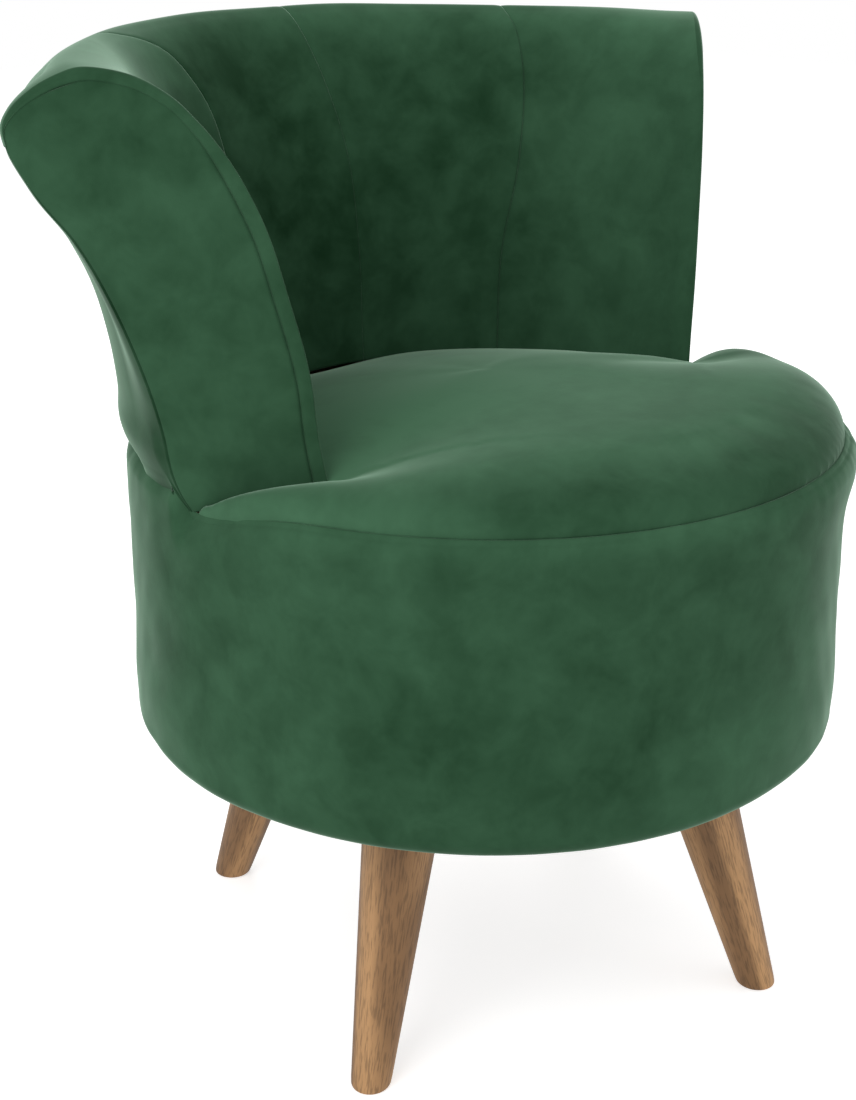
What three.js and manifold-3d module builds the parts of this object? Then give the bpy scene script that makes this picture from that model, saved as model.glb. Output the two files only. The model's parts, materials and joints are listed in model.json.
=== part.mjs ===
// Tub chair: a round upholstered drum on four splayed oak legs, with a crowned seat
// and a flared back that wraps round the sitter and ends in two upright facings.
// Millimetres, +Z up, the sitter faces -Y.  Angles on the back are counted from the
// middle of the back, positive towards the sitter's left, which is +X.
import * as THREE from 'three';
import { mergeVertices } from 'three/addons/utils/BufferGeometryUtils.js';
import Module from 'manifold-3d';

const wasm = await Module();
wasm.setup();

// Driving dimensions, millimetres
const legHeight = 219.5;
const seamHeight = 454;
const drumRadius = 277.5;
const drumSwell = 3;
const drumEdgeRadius = 13;
const hemWidth = 14;
const seatCrown = 46;
const seatTuckHeight = 6;
const seatTuckWidth = 62;
const rearTuckWidth = 150;
const legInset = 94.6;
const footSplay = 73;
const footDiameter = 30;
const legTopDiameter = 62;
const footChamfer = 1.5;
const backDepth = 75.5;
const outerFlare = 86.5;
const rollReach = 53;
const backRise = 284;
const rearRise = 6;

// Walls, boards and padding, millimetres
const coverThickness = 2;
const drumPadThickness = 10;
const wallThickness = 3;
const boardThickness = 18;
const edgePadHeight = 40;
const padLedge = 4;
const springLedge = 3;
const dustThickness = 1.2;
const dustHoleMargin = 3;
const backPadThickness = 25;
const backBoardThickness = 3;
const waddingThickness = 6;
const armPostThickness = 12;
const ribThickness = 18;
const postWidth = 40;
const postDepth = 22;

// Springs, clips, bolts and nuts, millimetres
const wireDiameter = 3.8;
const springPitch = 30;
const springCrown = 10;
const clipThickness = 1.5;
const clipWidth = 10;
const clipLength = 16;
const clipSetback = 9;
const clipRoom = 12;
const boltDiameter = 8;
const boltScrewLength = 40;
const boltProud = 6;
const boltTip = 5;
const nutWall = 1.4;
const nutBarrel = 10;
const nutFlange = 6;
const nutFlangeThickness = 1.6;

// Clearances, millimetres
const clearance = 0.3;
const cutOverrun = 20;

// Angles, degrees, and counts
const facingTurn = 45.5;
const facingLean = 2.3;
const armCornerAngle = 77.7;
const legTurn = 24.4;
const rearRamp = 32;
const rearTuckTurn = 62;
const seamAngles = [-54, -20, 13, 49];
const ribAngles = [-60, -30, 0, 30, 60];
const meanderSwing = 90;
const clipWrap = 150;
const drumSegments = 48;
const edgeSteps = 3;
const crownSteps = 8;
const backSteps = 30;
const panelSteps = 6;
const legSides = 20;
const boreSides = 12;
const boltSides = 8;
const wireSides = 5;
const clipSteps = 5;
const wireStepsPerBar = 6;
const wireStepParts = 4;
const postCount = 6;
const springCount = 4;

// Outline of the back at the arms and at the rear: share of the rise, then share of the flare
const innerProfileShares = [[0, 0], [0.12, 0.04], [0.27, 0.075], [0.47, 0.165], [0.66, 0.275],
  [0.78, 0.39], [0.87, 0.51], [0.94, 0.65], [0.983, 0.82], [1, 1]];
const innerRearShares = [[0, 0], [0.12, 0.04], [0.27, 0.075], [0.47, 0.165], [0.66, 0.275],
  [0.78, 0.38], [0.87, 0.48], [0.94, 0.58], [0.983, 0.69], [1, 0.81]];
const outerProfileShares = [[1, 0.49], [0.985, 0.62], [0.95, 0.8], [0.905, 0.94], [0.862, 1],
  [0.82, 0.945], [0.72, 0.77], [0.6, 0.56], [0.45, 0.355], [0.3, 0.19], [0.14, 0.07], [0, 0]];
const outerRearShares = [[0.986, 0.26], [0.959, 0.41], [0.917, 0.572], [0.879, 0.7], [0.84, 0.795],
  [0.806, 0.842], [0.74, 0.835], [0.6, 0.56], [0.43, 0.25], [0.28, 0.11], [0.12, 0.04], [0, 0]];
// Share of the rise where the inside covers meet the outside cover, where the roll starts,
// and where the roll's own outline takes over on the inside
const coverSeamShare = 0.82;
const rollBaseShare = 0.77;
const rollStartShare = 0.785;
// Drum wall: share of its height above the rounded edge, then share of the swell
const drumProfileShares = [[0, 0], [0.5, 0.3], [0.86, 1], [1, -0.33]];
// Share of the ring's opening that the springs spread over
const springSpreadShare = 0.757;
// Share of a half wave by which a spring's end bar runs on past its middle
const springEndShare = 0.38;
// Fullness of the crowned seat, across and up
const crownAcross = 3;
const crownUp = 2;

const degree = Math.PI / 180;

// Heights and radii that follow
const boardBottom = legHeight + coverThickness + clearance;
const boardTop = boardBottom + boardThickness;
const ringTop = seamHeight - edgePadHeight;
const ringBottom = ringTop - boardThickness;
const padOuterRadius = drumRadius - coverThickness - clearance;
const padInnerRadius = padOuterRadius - drumPadThickness;
const wallOuterRadius = padInnerRadius - clearance;
const wallInnerRadius = wallOuterRadius - wallThickness;
const boardRadius = wallInnerRadius - clearance;
const legCircleRadius = boardRadius - legInset;
const footCircleRadius = legCircleRadius + footSplay;
const seatRadius = drumRadius + drumSwell * drumProfileShares.at(-1)[1];
const outerBaseRadius = seatRadius;
const innerBaseRadius = outerBaseRadius - backDepth;
const innerFlare = backDepth + outerFlare - rollReach;
const ringInnerRadius = innerBaseRadius - springLedge;
const wireRadius = wireDiameter / 2;
const clipInnerRadius = wireRadius + clearance;
const clipOuterRadius = clipInnerRadius + clipThickness;
const wireHeight = ringTop + clearance + clipOuterRadius;
const facingDistance = innerBaseRadius * Math.cos((armCornerAngle - facingTurn) * degree);
const stepAngle = 2 * (180 - armCornerAngle) * degree / backSteps;
const facetSag = (outerBaseRadius + outerFlare) * (1 - Math.cos(stepAngle / 2));
const layerGap = clearance + facetSag;
const padDepth = coverThickness + layerGap;
const backBoardDepth = padDepth + backPadThickness + layerGap;
const ribInnerDepth = backBoardDepth + backBoardThickness + layerGap;
const ribOuterDepth = padDepth + waddingThickness + layerGap;
const coverInset = coverThickness + clearance;
const frameInset = coverInset + armPostThickness + clearance;
const backFoot = wireHeight + springCrown + wireRadius + clearance;
const backBase = seamHeight + clearance;
const rollBase = seamHeight + backRise * rollBaseShare;
const topRailTop = rollBase - clearance;
const topRailBottom = topRailTop - boardThickness;
const bottomRailBottom = ringTop + clearance;
const bottomRailTop = bottomRailBottom + boardThickness;

// Materials
const finishes = {
  velvet: { color: 0x34573f, roughness: 0.85, metalness: 0 },
  oak: { color: 0x86684a, roughness: 0.5, metalness: 0 },
  plywood: { color: 0xc9ab7c, roughness: 0.7, metalness: 0 },
  hardboard: { color: 0x7b5a3d, roughness: 0.75, metalness: 0 },
  foam: { color: 0xe9e0c4, roughness: 0.95, metalness: 0 },
  wadding: { color: 0xf1f0ea, roughness: 0.98, metalness: 0 },
  springSteel: { color: 0x6e7276, roughness: 0.35, metalness: 1 },
  zincSteel: { color: 0xb9bcbf, roughness: 0.3, metalness: 1 },
  cambric: { color: 0x1b1c1e, roughness: 0.95, metalness: 0 },
};

const chair = new THREE.Group();

function addPiece(name, geometry, finish) {
  const mesh = new THREE.Mesh(geometry, new THREE.MeshStandardMaterial(finishes[finish]));
  mesh.name = name;
  chair.add(mesh);
  return mesh;
}

// Merges shared corners, drops flat triangles and turns every face outwards
function closeSolid(source) {
  const loose = source.index ? source.toNonIndexed() : source.clone();
  for (const extra of Object.keys(loose.attributes)) {
    if (extra !== 'position') {
      loose.deleteAttribute(extra);
    }
  }
  const merged = mergeVertices(loose);
  const place = merged.getAttribute('position');
  const corner = [new THREE.Vector3(), new THREE.Vector3(), new THREE.Vector3()];
  const kept = [];
  let volume = 0;
  for (let at = 0; at < merged.index.count; at += 3) {
    const ids = [0, 1, 2].map((step) => merged.index.getX(at + step));
    if (new Set(ids).size < 3) {
      continue;
    }
    ids.forEach((id, step) => corner[step].fromBufferAttribute(place, id));
    volume += corner[0].dot(corner[1].clone().cross(corner[2]));
    kept.push(ids);
  }
  const index = kept.flatMap((ids) => (volume < 0 ? [ids[0], ids[2], ids[1]] : ids));
  merged.setIndex(index);
  return merged;
}

function toManifold(geometry) {
  const vertProperties = new Float32Array(geometry.getAttribute('position').array);
  const triVerts = new Uint32Array(geometry.index.array);
  return new wasm.Manifold(new wasm.Mesh({ numProp: 3, vertProperties, triVerts }));
}

function cutAway(body, tools) {
  let result = toManifold(body);
  for (const tool of tools) {
    result = result.subtract(toManifold(tool));
  }
  const mesh = result.getMesh();
  const geometry = new THREE.BufferGeometry();
  geometry.setAttribute('position', new THREE.BufferAttribute(new Float32Array(mesh.vertProperties), 3));
  geometry.setIndex(Array.from(mesh.triVerts));
  return geometry;
}

// Turns a closed profile of [radius, height] points about the chair's upright axis
function revolve(profile, segments) {
  const points = profile.map(([radius, height]) => new THREE.Vector2(radius, height));
  points.push(points[0].clone());
  return closeSolid(new THREE.LatheGeometry(points, segments).rotateX(Math.PI / 2));
}

// Joins rings of equal count into one closed body, with a flat cap on each end
function loft(rings, capOutline) {
  const count = rings[0].length;
  const position = rings.flat().flatMap((point) => [point.x, point.y, point.z]);
  const index = [];
  for (let ring = 0; ring + 1 < rings.length; ring += 1) {
    for (let side = 0; side < count; side += 1) {
      const next = (side + 1) % count;
      const low = ring * count;
      const high = low + count;
      index.push(low + side, low + next, high + next, low + side, high + next, high + side);
    }
  }
  const last = (rings.length - 1) * count;
  const turned = THREE.ShapeUtils.isClockWise(capOutline);
  for (const [a, b, c] of THREE.ShapeUtils.triangulateShape(capOutline, [])) {
    const [second, third] = turned ? [c, b] : [b, c];
    index.push(a, third, second, last + a, last + second, last + third);
  }
  const geometry = new THREE.BufferGeometry();
  geometry.setAttribute('position', new THREE.Float32BufferAttribute(position, 3));
  geometry.setIndex(index);
  return closeSolid(geometry);
}

// The drum's swelling side as [radius, height] points, at a depth under its cover
function drumOutline(offset) {
  const low = legHeight + drumEdgeRadius;
  const tall = seamHeight - low;
  return drumProfileShares.map(([up, out]) => [drumRadius + drumSwell * out - offset, low + tall * up]);
}

function drumCover() {
  const outer = [];
  const inner = [];
  const centre = drumRadius - drumEdgeRadius;
  const middle = legHeight + drumEdgeRadius;
  const innerEdgeRadius = drumEdgeRadius - coverThickness;
  for (let step = 0; step < edgeSteps; step += 1) {
    const angle = (step / edgeSteps) * Math.PI / 2;
    outer.push([centre + drumEdgeRadius * Math.sin(angle), middle - drumEdgeRadius * Math.cos(angle)]);
    inner.push([centre + innerEdgeRadius * Math.sin(angle), middle - innerEdgeRadius * Math.cos(angle)]);
  }
  const hem = centre - hemWidth;
  const rim = seamHeight - clearance / 2;
  const top = (points) => points.map(([radius, height]) => [radius, Math.min(height, rim)]);
  const outside = [[hem, legHeight], ...outer, ...top(drumOutline(0))];
  const inside = [[hem, legHeight + coverThickness], ...inner, ...top(drumOutline(coverThickness))];
  return revolve([...outside, ...inside.reverse()], drumSegments);
}

function drumPadding() {
  const top = seamHeight - padLedge;
  const outside = drumOutline(coverThickness + clearance)
    .map(([radius, height]) => [radius, Math.min(height, top)])
    .filter(([, height], at, all) => at === 0 || height > all[at - 1][1]);
  const inside = [padInnerRadius, legHeight + drumEdgeRadius];
  return revolve([inside, ...outside, [padInnerRadius, top]], drumSegments);
}

function ring(inner, outer, low, high) {
  return revolve([[inner, low], [outer, low], [outer, high], [inner, high]], drumSegments);
}

function circlePoints(x, y, radius, sides) {
  return Array.from({ length: sides }, (_, side) => {
    const angle = side / sides * 2 * Math.PI;
    return new THREE.Vector2(x + radius * Math.cos(angle), y + radius * Math.sin(angle));
  });
}

// Flat disc between two heights, with round holes of [x, y, radius]
function drilledDisc(radius, low, high, holes) {
  const outline = new THREE.Shape(circlePoints(0, 0, radius, drumSegments));
  outline.holes = holes.map(([x, y, reach]) => new THREE.Path(circlePoints(x, y, reach, legSides)));
  const flat = new THREE.ExtrudeGeometry(outline, { depth: high - low, bevelEnabled: false });
  return closeSolid(flat.translate(0, 0, low));
}

// Places of the four legs, clockwise from the sitter's right at the front
const legPlaces = [
  { name: 'right_front', angle: legTurn - 90 },
  { name: 'left_front', angle: legTurn },
  { name: 'left_back', angle: legTurn + 90 },
  { name: 'right_back', angle: legTurn + 180 },
].map(({ name, angle }) => (
  { name, out: new THREE.Vector2(Math.sin(angle * degree), -Math.cos(angle * degree)) }));

const legTop = boardBottom - clearance;
const legLean = Math.atan2(footCircleRadius - legCircleRadius, legHeight);

// A splayed taper, cut level at the floor and at the board, and drilled for its bolt
function leg(out) {
  const across = new THREE.Vector2(-out.y, out.x);
  const slope = (legTopDiameter - footDiameter) / 2 / legHeight;
  const heights = [0, footChamfer, legTop];
  const rings = heights.map((height, level) => {
    const radius = footDiameter / 2 + slope * height - (level === 0 ? footChamfer : 0);
    const centre = footCircleRadius - (footCircleRadius - legCircleRadius) * (height / legHeight);
    return Array.from({ length: legSides }, (_, side) => {
      const angle = (side / legSides) * 2 * Math.PI;
      const along = centre + radius * Math.cos(angle) / Math.cos(legLean);
      const aside = radius * Math.sin(angle);
      const spot = out.clone().multiplyScalar(along).addScaledVector(across, aside);
      return new THREE.Vector3(spot.x, spot.y, height);
    });
  });
  const cap = rings[0].map((point) => new THREE.Vector2(point.x, point.y));
  const hole = new THREE.CylinderGeometry(1, 1, 1, boreSides).rotateX(Math.PI / 2);
  const bore = boltDiameter / 2 + clearance;
  const depth = boltScrewLength + clearance;
  hole.scale(bore, bore, depth + cutOverrun);
  hole.translate(boltSpot(out).x, boltSpot(out).y, legTop - depth + (depth + cutOverrun) / 2);
  return cutAway(loft(rings, cap), [closeSolid(hole)]);
}

function boltSpot(out) {
  return out.clone().multiplyScalar(legCircleRadius);
}

// Hanger bolt: screw end down in the leg, machine end up through the nut
function hangerBolt(out) {
  const radius = boltDiameter / 2;
  const low = legTop - boltScrewLength;
  const top = boardTop + clearance + nutFlangeThickness + boltProud;
  const profile = [[0, low], [radius / 2, low + boltTip / 2], [radius, low + boltTip],
    [radius, top - boltTip / 4], [radius - boltTip / 4, top], [0, top]];
  const spot = boltSpot(out);
  return revolve(profile, boltSides).translate(spot.x, spot.y, 0);
}

// Tee nut: barrel down in the board, flange on top of it
function teeNut(out) {
  const bore = boltDiameter / 2 + clearance;
  const barrel = bore + nutWall;
  const seat = boardTop + clearance;
  const top = seat + nutFlangeThickness;
  const profile = [[bore, boardTop - nutBarrel], [barrel, boardTop - nutBarrel], [barrel, seat],
    [barrel + nutFlange, seat], [barrel + nutFlange, top], [bore, top]];
  const spot = boltSpot(out);
  return revolve(profile, boreSides).translate(spot.x, spot.y, 0);
}

function addBase() {
  for (const { name, out } of legPlaces) {
    addPiece(`leg_${name}`, leg(out), 'oak');
    addPiece(`leg_bolt_${name}`, hangerBolt(out), 'zincSteel');
    addPiece(`tee_nut_${name}`, teeNut(out), 'zincSteel');
  }
  const nutHole = boltDiameter / 2 + nutWall + 3 * clearance;
  const boltHoles = legPlaces.map(({ out }) => [boltSpot(out).x, boltSpot(out).y, nutHole]);
  addPiece('base_board', drilledDisc(boardRadius, boardBottom, boardTop, boltHoles), 'plywood');
  addPiece('base_top_ring', ring(ringInnerRadius, boardRadius, ringBottom, ringTop), 'plywood');
  const flatWallRadius = wallInnerRadius * Math.cos(Math.PI / drumSegments) - clearance;
  const postCentre = Math.sqrt(flatWallRadius ** 2 - (postWidth / 2) ** 2) - postDepth / 2;
  const postTall = ringBottom - boardTop - 2 * clearance;
  for (let count = 0; count < postCount; count += 1) {
    const angle = (count + 0.5) / postCount * 2 * Math.PI;
    const post = new THREE.BoxGeometry(postDepth, postWidth, postTall);
    post.translate(postCentre, 0, boardTop + clearance + postTall / 2);
    addPiece(`base_post_${count + 1}`, closeSolid(post.rotateZ(angle)), 'plywood');
  }
  addPiece('drum_wall', ring(wallInnerRadius, wallOuterRadius, boardBottom, ringTop), 'hardboard');
  addPiece('drum_padding', drumPadding(), 'foam');
  addPiece('drum_cover', drumCover(), 'velvet');
  const dustRadius = drumRadius - drumEdgeRadius - hemWidth - clearance;
  const legHole = legTopDiameter / 2 / Math.cos(legLean) + dustHoleMargin;
  const dustHoles = legPlaces.map(({ out }) => [boltSpot(out).x, boltSpot(out).y, legHole]);
  const dustTop = boardBottom - clearance;
  addPiece('dust_cover', drilledDisc(dustRadius, dustTop - dustThickness, dustTop, dustHoles), 'cambric');
}

// Half the span of a spring between its two clips, at a place across the seat
function springReach(across) {
  return Math.sqrt(ringInnerRadius ** 2 - across ** 2) + clipSetback;
}

// Sinuous spring: the wire's heading swings evenly from side to side along its length,
// so its bends are round and its bars cross the seat.  Bars lie in the clips at both ends.
function sinuousSpring(across) {
  const half = springReach(across);
  const bars = Math.round(2 * half / springPitch);
  const swing = meanderSwing * degree;
  const from = Math.PI * (0.5 - springEndShare);
  const to = Math.PI * (bars + 0.5 + springEndShare);
  const fine = wireStepsPerBar * wireStepParts * bars;
  const path = [];
  const at = new THREE.Vector2();
  for (let step = 0; step <= fine; step += 1) {
    const phase = from + (to - from) * step / fine;
    path.push({ phase, x: at.x, y: at.y });
    const heading = swing * Math.sin(phase + (to - from) / fine / 2);
    at.x += Math.sin(heading) * (to - from) / fine;
    at.y += Math.cos(heading) * (to - from) / fine;
  }
  const near = (phase) => path.reduce((best, point) => (
    Math.abs(point.phase - phase) < Math.abs(best.phase - phase) ? point : best));
  const first = near(Math.PI / 2);
  const last = near(Math.PI * (bars + 0.5));
  const unit = 2 * half / (last.y - first.y);
  const points = path.filter((_, step) => step % wireStepParts === 0).map(({ x, y }) => {
    const along = (y - (first.y + last.y) / 2) * unit;
    const rise = springCrown * Math.max(0, 1 - (along / (half - clipOuterRadius)) ** 2);
    return new THREE.Vector3(across + (x - (first.x + last.x) / 2) * unit, along, wireHeight + rise);
  });
  const curve = new THREE.CatmullRomCurve3(points);
  const section = new THREE.Shape(circlePoints(0, 0, wireRadius, wireSides));
  return closeSolid(new THREE.ExtrudeGeometry(section, {
    steps: points.length - 1, extrudePath: curve, bevelEnabled: false,
  }));
}

// Clip: a flat tongue on the ring that curls over the spring's end bar
function springClip(across, end) {
  const wrap = clipWrap * degree;
  const outline = new THREE.Shape();
  outline.moveTo(-clipLength, -clipOuterRadius);
  outline.lineTo(0, -clipOuterRadius);
  outline.absarc(0, 0, clipOuterRadius, -Math.PI / 2, wrap, false);
  outline.lineTo(clipInnerRadius * Math.cos(wrap), clipInnerRadius * Math.sin(wrap));
  outline.absarc(0, 0, clipInnerRadius, wrap, -Math.PI / 2, true);
  outline.lineTo(-clipLength, -clipInnerRadius);
  const strip = new THREE.ExtrudeGeometry(outline, {
    depth: clipWidth, bevelEnabled: false, curveSegments: clipSteps,
  });
  strip.translate(0, 0, -clipWidth / 2);
  strip.rotateX(Math.PI / 2);
  strip.rotateZ(-end * Math.PI / 2);
  return closeSolid(strip.translate(across, end * springReach(across), wireHeight));
}

// Crowned seat surface from the rim to the middle
function crownProfile(offset) {
  return Array.from({ length: crownSteps + 1 }, (_, step) => {
    const angle = (1 - step / crownSteps) * Math.PI / 2;
    const across = (seatRadius - offset) * Math.sin(angle) ** (2 / crownAcross);
    const up = (seatCrown - offset) * Math.max(0, Math.cos(angle)) ** (2 / crownUp);
    return [step === crownSteps ? 0 : across, seamHeight + clearance / 2 + (step === 0 ? 0 : up)];
  });
}

// Distance from a point of the seat to the foot of the back: its inner arc or a facing
function footDistance(x, y) {
  const turn = facingTurn * degree;
  const cornerAngle = armCornerAngle * degree;
  const out = Math.abs(x) * Math.sin(turn) - y * Math.cos(turn);
  const along = Math.abs(x) * Math.cos(turn) + y * Math.sin(turn);
  const cornerAlong = innerBaseRadius * Math.sin(cornerAngle - turn);
  const corner = Math.hypot(out - facingDistance, along - cornerAlong);
  const toFacing = along > cornerAlong ? Math.abs(out - facingDistance) : corner;
  const behindCorner = Math.atan2(Math.abs(x), -y) > cornerAngle;
  const toArc = behindCorner ? Math.abs(Math.hypot(x, y) - innerBaseRadius) : corner;
  return Math.min(toFacing, toArc);
}

// Pulls the crown down where it tucks in against the back, more gently at the rear
function tuckIn(geometry) {
  const place = geometry.getAttribute('position');
  for (let at = 0; at < place.count; at += 1) {
    const [x, y, z] = [place.getX(at), place.getY(at), place.getZ(at)];
    const around = Math.atan2(Math.abs(x), -y) / degree;
    const rear = THREE.MathUtils.smoothstep(around, armCornerAngle, armCornerAngle + rearTuckTurn);
    const width = THREE.MathUtils.lerp(seatTuckWidth, rearTuckWidth, rear);
    const near = THREE.MathUtils.smoothstep(1 - footDistance(x, y) / width, 0, 1);
    const room = Math.max(0, 1 - (Math.hypot(x, y) / seatRadius) ** crownAcross);
    const crown = seatCrown * room ** (1 / crownUp);
    if (z > seamHeight + clearance) {
      place.setZ(at, z - near * Math.max(0, crown - seatTuckHeight));
    }
  }
  return geometry;
}

function addSeat() {
  const envelope = backSolid([
    ...[ringTop - cutOverrun, seamHeight, seamHeight + seatCrown / 2, seamHeight + seatCrown + cutOverrun]
      .map((height) => sidePoint(innerSide, -layerGap, height)),
    fixedPoint(seatRadius + drumSwell + cutOverrun, seamHeight + seatCrown + cutOverrun),
    fixedPoint(seatRadius + drumSwell + cutOverrun, ringTop - cutOverrun),
  ], facingEdge(-1, -clearance), facingEdge(1, -clearance), backSteps);
  const dome = (offset, low) => (
    tuckIn(revolve([[0, low], [seatRadius - offset, low], ...crownProfile(offset)], drumSegments)));
  const under = dome(coverThickness, seamHeight - cutOverrun);
  addPiece('seat_cover', cutAway(dome(0, seamHeight + clearance / 2), [under, envelope]), 'velvet');
  const lip = ringInnerRadius + clipSetback + clipLength + clipRoom;
  const foamBase = ringTop + clearance;
  const ledge = seamHeight - padLedge + clearance;
  const foam = [[0, backFoot], [lip, backFoot], [lip, foamBase], [wallOuterRadius, foamBase],
    [wallOuterRadius, ledge], [seatRadius - coverInset, ledge], [seatRadius - coverInset, seamHeight],
    ...crownProfile(coverThickness).slice(1).map(([radius, height]) => [radius, height - 2 * clearance])];
  addPiece('seat_foam', cutAway(tuckIn(revolve(foam, drumSegments)), [envelope]), 'foam');
  for (let count = 0; count < springCount; count += 1) {
    const across = (2 * count / (springCount - 1) - 1) * springSpreadShare * ringInnerRadius;
    addPiece(`seat_spring_${count + 1}`, sinuousSpring(across), 'springSteel');
    addPiece(`spring_clip_front_${count + 1}`, springClip(across, -1), 'zincSteel');
    addPiece(`spring_clip_back_${count + 1}`, springClip(across, 1), 'zincSteel');
  }
}

// Outline of the back as [radius, height] points.  The weight runs from 0 at the arm
// ends to 1 round the back, where the roll is rounder and stands a little higher.
function outline(armShares, rearShares, base, flare, weight) {
  const rise = backRise + rearRise * weight;
  return armShares.map(([armUp, armOut], at) => {
    const [rearUp, rearOut] = rearShares[at];
    const up = THREE.MathUtils.lerp(armUp, rearUp, weight);
    const out = THREE.MathUtils.lerp(armOut, rearOut, weight);
    return [base + flare * out, seamHeight + rise * up];
  });
}

const innerSide = (weight) => (
  outline(innerProfileShares, innerRearShares, innerBaseRadius, innerFlare, weight));
const outerSide = (weight) => (
  outline(outerProfileShares, outerRearShares, outerBaseRadius, outerFlare, weight));
const wholeOutline = (weight) => [...innerSide(weight), ...outerSide(weight)];

// Moves a line of outline points inwards, square to the line, by a depth
function offsetLine(points, depth) {
  return points.map(([radius, height], at) => {
    const [backRadius, backHeight] = points[Math.max(0, at - 1)];
    const [nextRadius, nextHeight] = points[Math.min(points.length - 1, at + 1)];
    const length = Math.hypot(nextRadius - backRadius, nextHeight - backHeight);
    const across = depth * (nextHeight - backHeight) / length;
    return [radius + across, height - depth * (nextRadius - backRadius) / length];
  });
}

// A point on one side of the back, at a depth under its surface and at a height
function sidePoint(side, depth, height) {
  return (weight) => {
    const line = offsetLine(side(weight), depth).sort((a, b) => a[1] - b[1]);
    if (height <= line[0][1]) {
      return [line[0][0], height];
    }
    const above = Math.min(line.length - 1, line.findIndex(([, level]) => level >= height));
    const upper = line[above < 0 ? line.length - 1 : above];
    const lower = line[(above < 0 ? line.length - 1 : above) - 1];
    const share = (height - lower[1]) / (upper[1] - lower[1]);
    return [lower[0] + (upper[0] - lower[0]) * share, height];
  };
}

function fixedPoint(radius, height) {
  return () => [radius, height];
}

// A run of outline points at a depth, over the top of the back
function runPoints(first, last, depth) {
  const order = Array.from({ length: last - first + 1 }, (_, step) => first + step);
  return order.map((at) => (weight) => offsetLine(wholeOutline(weight), depth)[at]);
}

// Angle of a facing plane, which leans forward, for a point at a radius and height
function facingEdge(side, inset) {
  return (radius, height) => {
    const distance = facingDistance - inset + (height - seamHeight) * Math.tan(facingLean * degree);
    return side * (Math.PI - facingTurn * degree - Math.acos(distance / radius));
  };
}

// Angle of a sewn seam, half a clearance to one side of it
function seamEdge(angle, side) {
  return (radius) => angle * degree + side * clearance / 2 / radius;
}

// Radius and height of a back point at an angle, eased from the arm ends to the rear
function placePoint(point, angle) {
  const room = (facingEdge(1, 0)(...point(0)) - Math.abs(angle)) / (rearRamp * degree);
  return point(THREE.MathUtils.smoothstep(room, 0, 1));
}

// Carries a closed loop of back points round the chair from one edge to another
function backSolid(loop, from, to, steps) {
  const rings = Array.from({ length: steps + 1 }, (_, step) => loop.map((point) => {
    const start = from(...point(0));
    const angle = start + (to(...point(0)) - start) * step / steps;
    const [radius, height] = placePoint(point, angle);
    return new THREE.Vector3(radius * Math.sin(angle), radius * Math.cos(angle), height);
  }));
  const cap = loop.map((point) => new THREE.Vector2(...point(0)));
  return loft(rings, cap);
}

// Points up one side of the back at a depth, from a low height to a high one
function sideLine(side, depth, low, high) {
  const between = side(0).map((_, at) => at).filter((at) => [0, 1].every((weight) => {
    const [, height] = offsetLine(side(weight), depth)[at];
    return height > low + facetSag && height < high - facetSag;
  })).map((at) => (weight) => offsetLine(side(weight), depth)[at]);
  const rising = between.sort((a, b) => a(0)[1] - b(0)[1]);
  return [sidePoint(side, depth, low), ...rising, sidePoint(side, depth, high)];
}

// A sheet along one side of the back, between two depths and two heights
function sideSheet(side, near, far, low, high) {
  return [...sideLine(side, near, low, high), ...sideLine(side, far, low, high).reverse()];
}

// The end shape of the back inside its covers, with its foot down on the base ring
function endLoop(depth, foot) {
  const count = innerProfileShares.length + outerProfileShares.length;
  const notch = wallOuterRadius - clearance;
  const whole = runPoints(1, count - 2, depth);
  return [sidePoint(innerSide, depth, foot), sidePoint(innerSide, depth, seamHeight), ...whole,
    sidePoint(outerSide, depth, backBase), fixedPoint(notch, backBase), fixedPoint(notch, foot)];
}

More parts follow.
